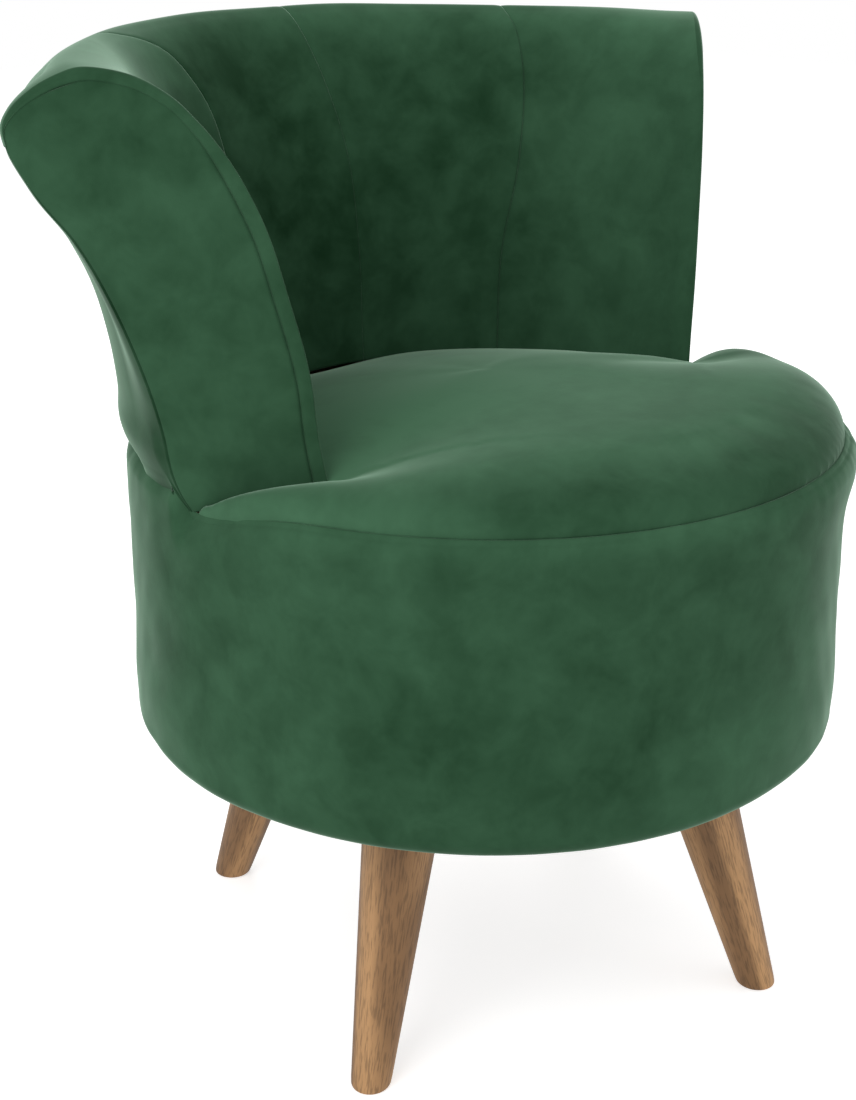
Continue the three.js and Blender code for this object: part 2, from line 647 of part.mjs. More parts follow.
function addBack() {
  const edges = [facingEdge(-1, coverInset), ...seamAngles, facingEdge(1, coverInset)];
  const seamIndex = innerProfileShares.length
    + outerProfileShares.findIndex(([up, out]) => up <= coverSeamShare && out > outerProfileShares[0][1]);
  for (let count = 0; count + 1 < edges.length; count += 1) {
    const from = count === 0 ? edges[0] : seamEdge(edges[count], 1);
    const to = count + 2 === edges.length ? edges[count + 1] : seamEdge(edges[count + 1], -1);
    const loop = [sidePoint(innerSide, 0, backFoot), ...runPoints(0, seamIndex, 0),
      ...runPoints(0, seamIndex, coverThickness).reverse(), sidePoint(innerSide, coverThickness, backFoot)];
    addPiece(`inside_back_panel_${count + 1}`, backSolid(loop, from, to, panelSteps), 'velvet');
  }
  const seamLevel = seamHeight + backRise * coverSeamShare;
  const coverEdges = [facingEdge(-1, coverInset), facingEdge(1, coverInset), backSteps];
  const frameEdges = [facingEdge(-1, frameInset), facingEdge(1, frameInset), backSteps];
  const outside = sideSheet(outerSide, 0, coverThickness, backBase, seamLevel - 2 * clearance);
  addPiece('outside_back_cover', backSolid(outside, ...coverEdges), 'velvet');
  const pad = sideSheet(innerSide, padDepth, padDepth + backPadThickness, backFoot, rollBase - clearance);
  addPiece('back_padding', backSolid(pad, ...frameEdges), 'foam');
  const count = innerProfileShares.length + outerProfileShares.length;
  const rollFirst = innerProfileShares.findIndex(([up]) => up > rollStartShare);
  const rollLast = count - 1 - [...outerProfileShares].reverse().findIndex(([up]) => up > rollBaseShare);
  const roll = [sidePoint(innerSide, padDepth, rollBase), ...runPoints(rollFirst, rollLast, padDepth),
    sidePoint(outerSide, padDepth, rollBase)];
  addPiece('top_roll_padding', backSolid(roll, ...frameEdges), 'foam');
  const sheet = [backBoardDepth, backBoardDepth + backBoardThickness, backFoot, topRailTop];
  addPiece('back_board', backSolid(sideSheet(innerSide, ...sheet), ...frameEdges), 'hardboard');
  const wrap = [padDepth, padDepth + waddingThickness, backBase, rollBase - clearance];
  addPiece('outside_wadding', backSolid(sideSheet(outerSide, ...wrap), ...frameEdges), 'wadding');
  addRail('back_top_rail', topRailBottom, topRailTop, frameEdges);
  addRail('back_bottom_rail', bottomRailBottom, bottomRailTop, frameEdges);
  ribAngles.forEach((angle, at) => addPiece(`back_rib_${at + 1}`, backRib(angle), 'plywood'));
  for (const [name, side] of [['right', -1], ['left', 1]]) {
    const post = endLoop(padDepth, ringTop + clearance);
    addPiece(`arm_post_${name}`, backSolid(post, facingEdge(side, coverInset),
      facingEdge(side, coverInset + armPostThickness), 1), 'plywood');
    const face = endLoop(0, backFoot);
    addPiece(`facing_panel_${name}`, backSolid(face, facingEdge(side, 0),
      facingEdge(side, coverThickness), 1), 'velvet');
  }
}

// Largest radius that keeps clear of the drum's padding below the seam
function outerLimit(depth, height) {
  return (weight) => {
    const [radius] = sidePoint(outerSide, depth, height)(weight);
    return [height < backBase ? Math.min(radius, wallOuterRadius - clearance) : radius, height];
  };
}

// A flat bent rail between two heights, clear of the board and the wadding
function addRail(name, low, high, edges) {
  const inner = (weight) => sidePoint(innerSide, ribInnerDepth, high)(weight)[0];
  const outer = (weight) => outerLimit(ribOuterDepth, low)(weight)[0];
  addPiece(name, backSolid([(weight) => [inner(weight), low], (weight) => [inner(weight), high],
    (weight) => [outer(weight), high], (weight) => [outer(weight), low]], ...edges), 'plywood');
}

// An upright rib between the rails, cut to the curve of the back
function backRib(angle) {
  const low = bottomRailTop + clearance;
  const high = topRailBottom - clearance;
  const turn = Math.abs(angle) * degree - ribThickness / 2 / outerBaseRadius;
  const inner = sideLine(innerSide, ribInnerDepth, low, high);
  const notch = wallOuterRadius - clearance;
  const outer = [fixedPoint(notch, low), fixedPoint(notch, backBase),
    ...sideLine(outerSide, ribOuterDepth, backBase + clearance, high).slice(1)];
  const loop = [...inner, ...outer.reverse()].map((point) => new THREE.Vector2(...placePoint(point, turn)));
  const shape = new THREE.Shape(loop);
  const board = new THREE.ExtrudeGeometry(shape, { depth: ribThickness, bevelEnabled: false });
  board.translate(0, 0, -ribThickness / 2).rotateX(Math.PI / 2);
  return closeSolid(board.rotateZ(Math.PI / 2 - angle * degree));
}

addBase();
addSeat();
addBack();

// The origin is on the floor under the middle of the chair's outline
const whole = new THREE.Box3().setFromObject(chair);
chair.position.set(-(whole.min.x + whole.max.x) / 2, -(whole.min.y + whole.max.y) / 2, 0);

export default chair;
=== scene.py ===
"""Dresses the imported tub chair: velvet covers over padding, turned oak legs and a plain studio.

Lengths are in metres and angles in degrees. The drum, the seat and the back all turn round one
upright axis. An angle of the back is measured from the middle of the back, and a bearing from
the front, both towards the sitter's left (+X). A plan is a place seen from above, counted from
the axis. Heights come from the frame.
"""
import json

import bpy
import numpy as np
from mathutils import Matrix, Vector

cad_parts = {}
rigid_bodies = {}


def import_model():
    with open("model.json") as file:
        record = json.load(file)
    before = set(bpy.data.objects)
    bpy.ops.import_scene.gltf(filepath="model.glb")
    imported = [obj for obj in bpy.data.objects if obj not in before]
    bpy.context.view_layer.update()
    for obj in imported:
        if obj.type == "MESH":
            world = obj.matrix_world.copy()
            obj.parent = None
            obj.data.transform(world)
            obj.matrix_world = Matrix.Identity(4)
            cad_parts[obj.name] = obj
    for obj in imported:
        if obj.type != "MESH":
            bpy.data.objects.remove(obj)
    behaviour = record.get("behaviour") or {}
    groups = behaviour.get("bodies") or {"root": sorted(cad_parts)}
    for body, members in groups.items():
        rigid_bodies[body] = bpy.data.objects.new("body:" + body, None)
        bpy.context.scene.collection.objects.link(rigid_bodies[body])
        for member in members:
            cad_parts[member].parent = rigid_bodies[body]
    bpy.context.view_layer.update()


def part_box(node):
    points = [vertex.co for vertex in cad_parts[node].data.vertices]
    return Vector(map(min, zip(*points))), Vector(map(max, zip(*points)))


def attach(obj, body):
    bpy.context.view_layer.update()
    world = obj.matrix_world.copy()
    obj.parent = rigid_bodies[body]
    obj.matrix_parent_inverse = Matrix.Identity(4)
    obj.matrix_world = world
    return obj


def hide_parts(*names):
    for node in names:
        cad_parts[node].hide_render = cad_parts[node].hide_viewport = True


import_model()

bl_info = {
    "name": "Tub Chair Dressing",
    "version": (1, 0, 0),
    "blender": (4, 5, 0),
    "location": "View3D > Sidebar > Tub Chair",
    "description": "Velvet covers, oak legs and a plain studio for the tub chair",
    "category": "Object",
}

BODY = "root"


# ---------------------------------------------------------------- what the frame gives

def box(node):
    """Lowest and highest corner of a node, as two numpy rows."""
    low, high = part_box(node)
    return np.array(low, float), np.array(high, float)


DRUM_LOW, DRUM_HIGH = box("drum_cover")
SEAT_LOW, SEAT_HIGH = box("seat_cover")
WALL_LOW, WALL_HIGH = box("drum_wall")

AXIS_Y = (DRUM_LOW[1] + DRUM_HIGH[1]) / 2        # the drum's axis, ahead of the chair's middle
SEAM_HEIGHT = (DRUM_HIGH[2] + box("outside_back_cover")[0][2]) / 2
CENTRE = np.array([0, AXIS_Y, SEAM_HEIGHT])
SEAT_RADIUS = (SEAT_HIGH[0] - SEAT_LOW[0]) / 2
DRUM_RADIUS = (DRUM_HIGH[0] - DRUM_LOW[0]) / 2
WALL_RADIUS = (WALL_HIGH[0] - WALL_LOW[0]) / 2
ARM_RISE = box("facing_panel_left")[1][2] - SEAM_HEIGHT      # from the seam to the arms' tops
BACK_RISE = box("inside_back_panel_3")[1][2] - SEAM_HEIGHT   # and to the top of the back
SPRING_TOP = box("seat_spring_2")[1][2]
LEG_HEIGHT = box("leg_left_front")[1][2]


# ---------------------------------------------------------------- the back's outline

INNER_BASE = 0.2010         # radius of the inside of the back at the seam
INNER_FLARE = 0.1090        # how far the inside of the back leans out to its top
OUTER_FLARE = 0.0865        # how far the roll stands out past the seat's radius
FACING_TURN = 45.5          # bearing that each facing looks along
FACING_LEAN = 2.3           # a facing leans forward by this much towards its top
ARM_CORNER_BEARING = 77.7   # bearing of a facing's inner foot
REAR_RAMP = 32.0            # angle over which the arm's outline turns into the rear's
NOSE_RAMP = 10.0            # and the shorter one over which the arm's nose does
NOSE_START = 0.5            # which it starts to at this angle behind the facing
NECK_DEPTH = 0.0115         # how far the roll is drawn in behind a facing
NECK_POWER = 1.2            # power of the roll's share of its flare that this goes by
NECK_IN = (0.7, 9.5)        # angle behind the facing where it sets in, and over which it grows
NECK_OUT = (12.0, 24.0)     # angle where it begins to go, and over which it does
CREST_DIP = 0.0028          # depth of the hollow in the crest between the arm and the rear
CREST_PLACE = (36.0, 14.0)  # its angle behind the facing, and how far it reaches
CREST_REACH = 0.08          # its reach across the crest, as a share of the outline
ARM_DIP = 0.0180            # how far an arm's outer foot presses down into the drum's rim
ARM_PULL = 0.0095           # and how far it is drawn in there
PRESS_START = 0.955         # share of the outline from which on it does both
ARM_TUCK = 0.0030           # a facing's inner foot stands this much over the seam
FOLD_WIDTH = 2.4            # angle behind a facing over which the pull ends in a short fold
SEAM_INSET = 0.0065         # the seam round the seat lies this far in from the seat's radius

FACING_DISTANCE = INNER_BASE * np.cos(np.radians(ARM_CORNER_BEARING - FACING_TURN))
INNER_ALONG = INNER_BASE * np.sin(np.radians(ARM_CORNER_BEARING - FACING_TURN))
OUTER_RADIUS = SEAT_RADIUS - ARM_PULL       # where a facing's outer foot meets the drum

# Share of the rise, share of the flare, from the inner foot over the top to the outer foot.
ARM_INNER_SHARES = np.array([[0, 0], [.12, .04], [.27, .075], [.47, .165], [.66, .275],
                             [.78, .39], [.87, .51], [.94, .65], [.983, .82], [1, 1]])
REAR_INNER_SHARES = np.array([[0, 0], [.12, .04], [.27, .075], [.47, .165], [.66, .275],
                              [.78, .38], [.87, .48], [.94, .58], [.983, .69], [1, .81]])
ARM_OUTER_SHARES = np.array([[1, .49], [.985, .62], [.95, .8], [.905, .94], [.862, 1],
                             [.82, .98], [.72, .83], [.6, .573], [.45, .352], [.3, .19],
                             [.14, .065], [0, 0]])
REAR_OUTER_SHARES = np.array([[.986, .26], [.959, .41], [.917, .572], [.879, .7], [.84, .795],
                              [.806, .842], [.74, .835], [.6, .56], [.43, .25], [.28, .11],
                              [.12, .04], [0, 0]])
COVER_SEAM_KNOT = 5         # outer knot at which the inside cover meets the outside one

# Angle of each seam of the inside back at these shares of the way from its foot to its top.
SEAM_PATHS = np.array([[-54, -54, -54, -54, -54, -54, -54],
                       [-20, -20, -20.6, -22.8, -28.2, -39.5, -46],
                       [13.9, 14.4, 13.9, 10.9, 9.0, 8.0, 7.5],
                       [48.3, 48.9, 52.5, 52.4, 50.5, 47.8, 46.5]], float)
SEAM_LEVELS = np.array([0, .26, .53, .76, .88, .98, 1.27])
SEAM_STRENGTHS = (0.0, 0.55, 0.6, 1.0)      # the photo shows no seam at the first place


def smooth_step(value):
    """Rises from 0 to 1 as three squares less two cubes of the value, and is flat outside."""
    value = np.clip(value, 0.0, 1.0)
    return value * value * (3 - 2 * value)


def bell(distance, width):
    """One at no distance, falling off as the exponential of minus the square of distance/width."""
    return np.exp(-(np.asarray(distance) / width) ** 2)


RIPPLE_WAVES = 10


def ripple(places, size, seed):
    """Gentle unevenness of about -1 to 1: the sum of some sine waves, each along its own
    direction, from its own start and 0.7 to 1.7 times the given length, all drawn from one seed,
    over 1.4 roots of their number."""
    draw = np.random.default_rng(seed)
    ways = draw.normal(size=(RIPPLE_WAVES, 3))
    ways /= np.linalg.norm(ways, axis=1, keepdims=True)
    ways *= 2 * np.pi / (size * draw.uniform(0.7, 1.7, (RIPPLE_WAVES, 1)))
    starts = draw.uniform(0, 2 * np.pi, RIPPLE_WAVES)
    return np.sin(places @ ways.T + starts).sum(-1) / np.sqrt(RIPPLE_WAVES) / 1.4


def lengths_along(line):
    """Distance along a line of points from its first point to each of them."""
    return np.concatenate([[0], np.cumsum(np.linalg.norm(np.diff(line, axis=0), axis=1))])


def stations(knots):
    """Share of a line's length at each of its knots."""
    total = lengths_along(knots)
    return total / total[-1]


def smooth_line(knots, at, places):
    """Cubic curve through knots that stand at the given stations, read at places. Its slope at
    a knot is the mean of the slopes on both sides, each weighted by the other side's length."""
    knots = np.asarray(knots, float)
    step = np.diff(at)
    slope = np.diff(knots, axis=0) / step[:, None]
    inside = slope[:-1] * step[1:, None] + slope[1:] * step[:-1, None]
    inside /= (step[1:] + step[:-1])[:, None]
    tangent = np.vstack([slope[:1], inside, slope[-1:]])
    places = np.asarray(places, float)
    left = np.clip(np.searchsorted(at, places, side="right") - 1, 0, len(at) - 2)
    share = ((places - at[left]) / step[left])[..., None]
    width = step[left][..., None]
    return ((2 * share ** 3 - 3 * share ** 2 + 1) * knots[left]
            + (share ** 3 - 2 * share ** 2 + share) * width * tangent[left]
            + (3 * share ** 2 - 2 * share ** 3) * knots[left + 1]
            + (share ** 3 - share ** 2) * width * tangent[left + 1])


def outline(inner_shares, outer_shares, rise):
    """Knots (radius, height) of the back's section, from the inner foot to the outer foot."""
    inner = np.array([INNER_BASE, SEAM_HEIGHT]) + inner_shares[:, ::-1] * [INNER_FLARE, rise]
    outer = np.array([SEAT_RADIUS, SEAM_HEIGHT]) + outer_shares[:, ::-1] * [OUTER_FLARE, rise]
    return np.vstack([inner, outer])


ARM_KNOTS = outline(ARM_INNER_SHARES, ARM_OUTER_SHARES, ARM_RISE)
REAR_KNOTS = outline(REAR_INNER_SHARES, REAR_OUTER_SHARES, BACK_RISE)
OUTLINE_STATIONS = (stations(ARM_KNOTS) + stations(REAR_KNOTS)) / 2
INNER_KNOTS = len(ARM_INNER_SHARES)
TOP_STATION = OUTLINE_STATIONS[INNER_KNOTS - 1]
NOSE_STATION = OUTLINE_STATIONS[INNER_KNOTS + COVER_SEAM_KNOT - 1]
COVER_SEAM_STATION = OUTLINE_STATIONS[INNER_KNOTS + COVER_SEAM_KNOT]


def facing_angle(radius, height):
    """Angle from the middle of the back at which a facing's leaning plane cuts a circle of this
    radius at this height."""
    away = FACING_DISTANCE + (height - SEAM_HEIGHT) * np.tan(np.radians(FACING_LEAN))
    return 180 - FACING_TURN - np.degrees(np.arccos(np.clip(away / radius, -1, 1)))


def pressed(along):
    """How far an arm's outer foot is drawn in and down, at shares of the outline: by the cube
    and by the power 1.5 of the share of the way down to it."""
    share = np.clip((along - PRESS_START) / (1 - PRESS_START), 0, 1)
    return np.stack([ARM_PULL * share ** 3, ARM_DIP * share ** 1.5], axis=-1)


def edge_angle(along):
    """Angle of the facing's edge at each share of the outline."""
    arm = smooth_line(ARM_KNOTS, OUTLINE_STATIONS, along) - pressed(along)
    return facing_angle(arm[..., 0], arm[..., 1])


def back_surface(along, across):
    """Surface of the back. along is the share of the outline from the inner foot to the outer
    foot and across runs from -1 at the right facing to 1 at the left one. The section is the
    arm's near a facing and eases into the rear's away from it, and is turned round the axis."""
    arm = smooth_line(ARM_KNOTS, OUTLINE_STATIONS, along)
    rear = smooth_line(REAR_KNOTS, OUTLINE_STATIONS, along)
    edge = edge_angle(along)
    behind = edge * (1 - np.abs(across))
    past_top = (along - TOP_STATION) / (NOSE_STATION - TOP_STATION)
    outside = smooth_step(past_top)
    ramp = REAR_RAMP + (NOSE_RAMP - REAR_RAMP) * outside
    section = arm + (rear - arm) * smooth_step((behind - NOSE_START * outside) / ramp)[..., None]
    flared = np.clip((section[..., 0] - SEAT_RADIUS) / OUTER_FLARE, 0, 1) ** NECK_POWER
    neck = smooth_step((behind - NECK_IN[0]) / NECK_IN[1]) * (
        1 - smooth_step((behind - NECK_OUT[0]) / NECK_OUT[1]))
    section[..., 0] -= NECK_DEPTH * neck * smooth_step(2 * past_top) * flared
    section[..., 1] -= CREST_DIP * bell(behind - CREST_PLACE[0], CREST_PLACE[1]) * bell(
        along - TOP_STATION, CREST_REACH)
    section -= pressed(along) * (1 - smooth_step(behind / FOLD_WIDTH))[..., None]
    turn = np.radians(across * edge)
    return np.stack([section[..., 0] * np.sin(turn),
                     AXIS_Y + section[..., 0] * np.cos(turn),
                     section[..., 1]], axis=-1)


def facing_foot(along):
    """Height of a facing's foot over the seam, by the distance along its line from its middle:
    it falls evenly from the tuck by the sitter down to the dip at the outer foot."""
    outer = np.sqrt(SEAT_RADIUS ** 2 - FACING_DISTANCE ** 2)
    part = np.clip((along - INNER_ALONG) / (outer - INNER_ALONG), 0, 1)
    return ARM_TUCK - (ARM_TUCK + ARM_DIP) * part


def facing_plane(side):
    """A point on a facing's plane at the seam's height, the direction out of it, and the
    direction along it away from the sitter, for side -1 (right) or 1 (left)."""
    turn = np.radians(FACING_TURN)
    flat = np.array([side * np.sin(turn), -np.cos(turn), 0.0])
    out = flat - [0, 0, np.tan(np.radians(FACING_LEAN))]
    along = np.array([side * np.cos(turn), np.sin(turn), 0.0])
    return CENTRE + flat * FACING_DISTANCE, out / np.linalg.norm(out), along


# ---------------------------------------------------------------- meshes

def grid_faces(rows, columns, first=0, wrap_rows=False, wrap_columns=False):
    """Four-sided faces of a grid of points that is numbered row by row from first."""
    row = np.arange(rows if wrap_rows else rows - 1)[:, None]
    column = np.arange(columns if wrap_columns else columns - 1)[None, :]
    here = row * columns
    below = ((row + 1) % rows) * columns
    beside = (column + 1) % columns
    faces = np.stack(np.broadcast_arrays(here + column, here + beside, below + beside,
                                         below + column), axis=-1)
    return first + faces.reshape(-1, 4)


def turned_out(points, faces):
    """The same faces, all turned round if together they enclose less than nothing."""
    one, two, three, four = points[faces].transpose(1, 0, 2)
    volume = (one * (np.cross(two, three) + np.cross(three, four))).sum()
    return faces if volume > 0 else faces[:, ::-1]


def mesh_of(name, points, faces):
    """A mesh of the points and faces, turned outwards, with corners at one point made one."""
    mesh = bpy.data.meshes.new(name)
    corners = [list(dict.fromkeys(face)) for face in turned_out(points, faces).tolist()]
    mesh.from_pydata(points.tolist(), [], [face for face in corners if len(face) > 2])
    return mesh


def placed(name, data):
    """A new object with this data, linked to the scene."""
    thing = bpy.data.objects.new(name, data)
    bpy.context.scene.collection.objects.link(thing)
    return thing


def build(name, points, faces, nodes, finish, label, values):
    """Makes one smooth-shaded object of the points and faces, with one attribute that its finish
    reads, puts it on its body and hides the nodes that it stands for."""
    mesh = mesh_of(name, points, faces)
    mesh.validate()
    mesh.polygons.foreach_set("use_smooth", np.ones(len(mesh.polygons), dtype=bool))
    vector = values.ndim == 2
    layer = mesh.attributes.new(label, "FLOAT_VECTOR" if vector else "FLOAT", "POINT")
    layer.data.foreach_set("vector" if vector else "value", values.astype(np.float32).ravel())
    mesh.materials.append(finish)
    piece = placed(name, mesh)
    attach(piece, BODY)
    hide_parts(*nodes)
    return piece


def velvet_piece(name, points, faces, nodes, pile, fill=0.9):
    """Builds one padded piece in velvet. pile holds painted light and shade: how far each point is
    painted towards the pale colour.
    """
    finish = finish_named("brushed cut-pile velvet", velvet, bpy.context.scene.tub_colours)
    piece = build(name, points, faces, nodes, finish, "pile", pile.ravel())


def closed_sheet(outer, inner):
    """Points and faces of a sheet with two skins on one grid, joined round all four borders."""
    rows, columns = outer.shape[:2]
    count = rows * columns
    points = np.vstack([outer.reshape(-1, 3), inner.reshape(-1, 3)])
    number = np.arange(count).reshape(rows, columns)
    rim = np.concatenate([number[0, :-1], number[:-1, -1], number[-1, :0:-1], number[:0:-1, 0]])
    following = np.roll(rim, -1)
    border = np.stack([following, rim, rim + count, following + count], axis=-1)
    front = grid_faces(rows, columns)
    back = grid_faces(rows, columns, first=count)[:, ::-1]
    return points, np.vstack([front, back, border])


def normals(surface, middle, away):
    """Unit normals of a grid of points, from the cross product of its two directions, turned so
    that the one at the middle point looks away from the axis (1) or towards it (-1)."""
    cross = np.cross(np.gradient(surface, axis=0), np.gradient(surface, axis=1))
    cross /= np.maximum(np.linalg.norm(cross, axis=-1, keepdims=True), 1e-12)
    turned = (cross[middle] * (surface[middle] - CENTRE)).sum() * away < 0
    return -cross if turned else cross


def eased(count, ends):
    """Shares from 0 to 1 that stand closer together near both ends, more so the nearer ends
    is to 1."""
    even = np.linspace(0, 1, count)
    return even + ends * (0.5 - 0.5 * np.cos(np.pi * even) - even)


def arc(centre, radius, start, end, count):
    """Points (radius, height) on a circle, from one angle over the level to another."""
    turn = np.radians(np.linspace(start, end, count))
    return centre + radius * np.column_stack([np.cos(turn), np.sin(turn)])


def polar(plan):
    """Distance from the axis and bearing of places in plan."""
    radius = np.hypot(plan[..., 0], plan[..., 1])
    return radius, np.degrees(np.arctan2(plan[..., 0], -plan[..., 1]))


def outwards(bearing):
    """Unit directions in plan along bearings."""
    turn = np.radians(bearing)
    return np.stack([np.sin(turn), -np.cos(turn)], -1)


# ---------------------------------------------------------------- finishes

def linear(code):
    """sRGB hex to linear red, green and blue."""
    parts = np.array([int(code[i:i + 2], 16) for i in (1, 3, 5)]) / 255
    return tuple(np.where(parts <= 0.04045, parts / 12.92, ((parts + 0.055) / 1.055) ** 2.4))


def add_node(tree, kind, settings=None, links=None):
    """Adds a node; settings are attributes, or sockets by name or number, and links are sockets
    by name or number that are fed from another node's output."""
    node = tree.nodes.new(kind)
    for key, value in (settings or {}).items():
        if isinstance(key, str) and hasattr(node, key):
            setattr(node, key, value)
        else:
            node.inputs[key].default_value = value
    for key, output in (links or {}).items():
        tree.links.new(output, node.inputs[key])
    return node


def new_finish(name):
    """An empty material with its node tree, and its output node."""
    finish = bpy.data.materials.new(name)
    finish.use_nodes = True
    finish.node_tree.nodes.clear()
    return finish, finish.node_tree, finish.node_tree.nodes.new("ShaderNodeOutputMaterial")


def waves_per_metre(millimetres):
    """Scale of a pattern on Object coordinates whose marks are this many millimetres apart."""
    return 1000 / millimetres


def velvet(colours):
    """Cut-pile velvet, woven and brushed, which its sheen makes pale at grazing angles. The vertex
    attribute "pile" carries painted light and shade, with painted shade where the velvet is looked
    into: it tells how far each place is painted towards the pale colour. Hands leave patches of
    pile that lie another way."""
    finish, tree, output = new_finish("brushed cut-pile velvet")
    place = add_node(tree, "ShaderNodeTexCoord").outputs["Object"]
    painted_light_and_shade = add_node(tree, "ShaderNodeAttribute", {"attribute_name": "pile"}).outputs["Fac"]
    patches = add_node(tree, "ShaderNodeTexNoise", {
        "Scale": waves_per_metre(75), "Detail": 4.0, "Roughness": 0.6, "Distortion": 0.4},
        {"Vector": place}).outputs["Fac"]
    marks = add_node(tree, "ShaderNodeTexNoise", {
        "Scale": waves_per_metre(32), "Detail": 3.0, "Roughness": 0.6, "Distortion": 0.3},
        {"Vector": place}).outputs["Fac"]
    patch_lean = add_node(tree, "ShaderNodeMapRange", {
        "From Min": 0.3, "From Max": 0.7, "To Min": -0.13, "To Max": 0.13}, {"Value": patches})
    mark_lean = add_node(tree, "ShaderNodeMapRange", {
        "From Min": 0.36, "From Max": 0.64, "To Min": -0.08, "To Max": 0.08}, {"Value": marks})
    both = add_node(tree, "ShaderNodeMath", {"operation": "ADD"},
                    {0: patch_lean.outputs[0], 1: mark_lean.outputs[0]})
    # The pile attribute adds its painted light and shade to the random patches and marks.
    whole = add_node(tree, "ShaderNodeMath", {"operation": "ADD", "use_clamp": True},
                     {0: both.outputs[0], 1: painted_light_and_shade})
    shade = add_node(tree, "ShaderNodeMix", {
        "data_type": "RGBA", 6: (*colours.dark_pile_and_shade, 1), 7: (*colours.pale_pile_and_light, 1)},
        {0: whole.outputs[0]})
    # Real pile is under 1 mm across, too fine to show, so its grain is drawn 1.6 mm apart.
    grain = add_node(tree, "ShaderNodeTexNoise", {
        "Scale": waves_per_metre(1.6), "Detail": 1.0}, {"Vector": place}).outputs["Fac"]
    bump = add_node(tree, "ShaderNodeBump", {"Strength": 0.10, "Distance": 0.0004},
                    {"Height": grain})
    shader = add_node(tree, "ShaderNodeBsdfPrincipled", {
        "Roughness": 0.92, "IOR": 1.45, "Specular IOR Level": 0.15, "Sheen Weight": 0.9,
        "Sheen Roughness": 0.28, "Sheen Tint": (*colours.pile_sheen, 1)},
        {"Base Color": shade.outputs[2], "Normal": bump.outputs[0]})
    tree.links.new(shader.outputs[0], output.inputs["Surface"])
    return finish


def oak(colours):
    """Turned oak under a satin oil. Growth rings 5 mm apart, cut at a slant, draw arches up the
    leg, and short dark pores run along it. The vertex attribute "grain" holds the place across
    and along the leg before it was leant out."""
    finish, tree, output = new_finish("oiled oak")
    place = add_node(tree, "ShaderNodeAttribute", {"attribute_name": "grain"}).outputs["Vector"]
    slanted = add_node(tree, "ShaderNodeMapping", {"Rotation": (0.10, 0.06, 0.0),
                                                   "Location": (0.021, 0.034, 0.0),
                                                   "Scale": (1.0, 1.0, 0.16)}, {"Vector": place})
    rings = add_node(tree, "ShaderNodeTexWave", {
        "wave_type": "RINGS", "rings_direction": "Z", "Scale": waves_per_metre(5) / 20,
        "Distortion": 3.2, "Detail": 3.0, "Detail Scale": 1.3, "Detail Roughness": 0.62},
        {"Vector": slanted.outputs[0]})
    ramp = add_node(tree, "ShaderNodeValToRGB", {}, {"Fac": rings.outputs["Fac"]})
    ramp.color_ramp.elements[0].color = (*colours.oak_dark, 1)
    ramp.color_ramp.elements[0].position = 0.15
    ramp.color_ramp.elements[1].color = (*colours.oak_pale, 1)
    ramp.color_ramp.elements[1].position = 0.75
    stretched = add_node(tree, "ShaderNodeMapping", {"Scale": (1.0, 1.0, 0.05)}, {"Vector": place})
    pores = add_node(tree, "ShaderNodeTexNoise", {
        "Scale": waves_per_metre(1.4), "Detail": 2.0, "Roughness": 0.6},
        {"Vector": stretched.outputs[0]})
    pore_dark = add_node(tree, "ShaderNodeMapRange", {
        "From Min": 0.38, "From Max": 0.52, "To Min": 0.62, "To Max": 1.0},
        {"Value": pores.outputs["Fac"]})
    tone = add_node(tree, "ShaderNodeTexNoise", {
        "Scale": waves_per_metre(45), "Detail": 2.0}, {"Vector": slanted.outputs[0]})
    tone_shade = add_node(tree, "ShaderNodeMapRange", {
        "From Min": 0.3, "From Max": 0.7, "To Min": 0.8, "To Max": 1.12},
        {"Value": tone.outputs["Fac"]})
    darker = add_node(tree, "ShaderNodeMath", {"operation": "MULTIPLY"},
                      {0: pore_dark.outputs[0], 1: tone_shade.outputs[0]})
    colour = add_node(tree, "ShaderNodeVectorMath", {"operation": "SCALE"},
                      {0: ramp.outputs["Color"], "Scale": darker.outputs[0]})
    bump = add_node(tree, "ShaderNodeBump", {"Strength": 0.15, "Distance": 0.0003},
                    {"Height": pores.outputs["Fac"]})
    shader = add_node(tree, "ShaderNodeBsdfPrincipled", {
        "Roughness": 0.48, "IOR": 1.5, "Specular IOR Level": 0.4},
        {"Base Color": colour.outputs[0], "Normal": bump.outputs[0]})
    tree.links.new(shader.outputs[0], output.inputs["Surface"])
    return finish


def plain_finish(name, colour, roughness, metallic, second, mark_size):
    """A finish of one sRGB colour, or of two that mix in soft marks of a size in millimetres."""
    finish, tree, output = new_finish(name)
    shader = add_node(tree, "ShaderNodeBsdfPrincipled", {
        "Base Color": (*linear(colour), 1), "Roughness": roughness, "Metallic": metallic})
    if second:
        place = add_node(tree, "ShaderNodeTexCoord").outputs["Object"]
        marks = add_node(tree, "ShaderNodeTexNoise", {
            "Scale": waves_per_metre(mark_size), "Detail": 3.0}, {"Vector": place})
        mix = add_node(tree, "ShaderNodeMix", {
            "data_type": "RGBA", 6: (*linear(colour), 1), 7: (*linear(second), 1)},
            {0: marks.outputs["Fac"]})
        tree.links.new(mix.outputs[2], shader.inputs["Base Color"])
    tree.links.new(shader.outputs[0], output.inputs["Surface"])
    return finish


def finish_named(name, maker, *arguments):
    """The finish of this name, made the first time that it is asked for."""
    return bpy.data.materials.get(name) or maker(*arguments)


# ---------------------------------------------------------------- what a user would change

def length(name, description, default):
    """A length in metres as an add-on property."""
    return bpy.props.FloatProperty(name=name, description=description, default=default,
                                   min=0, unit="LENGTH", precision=4)


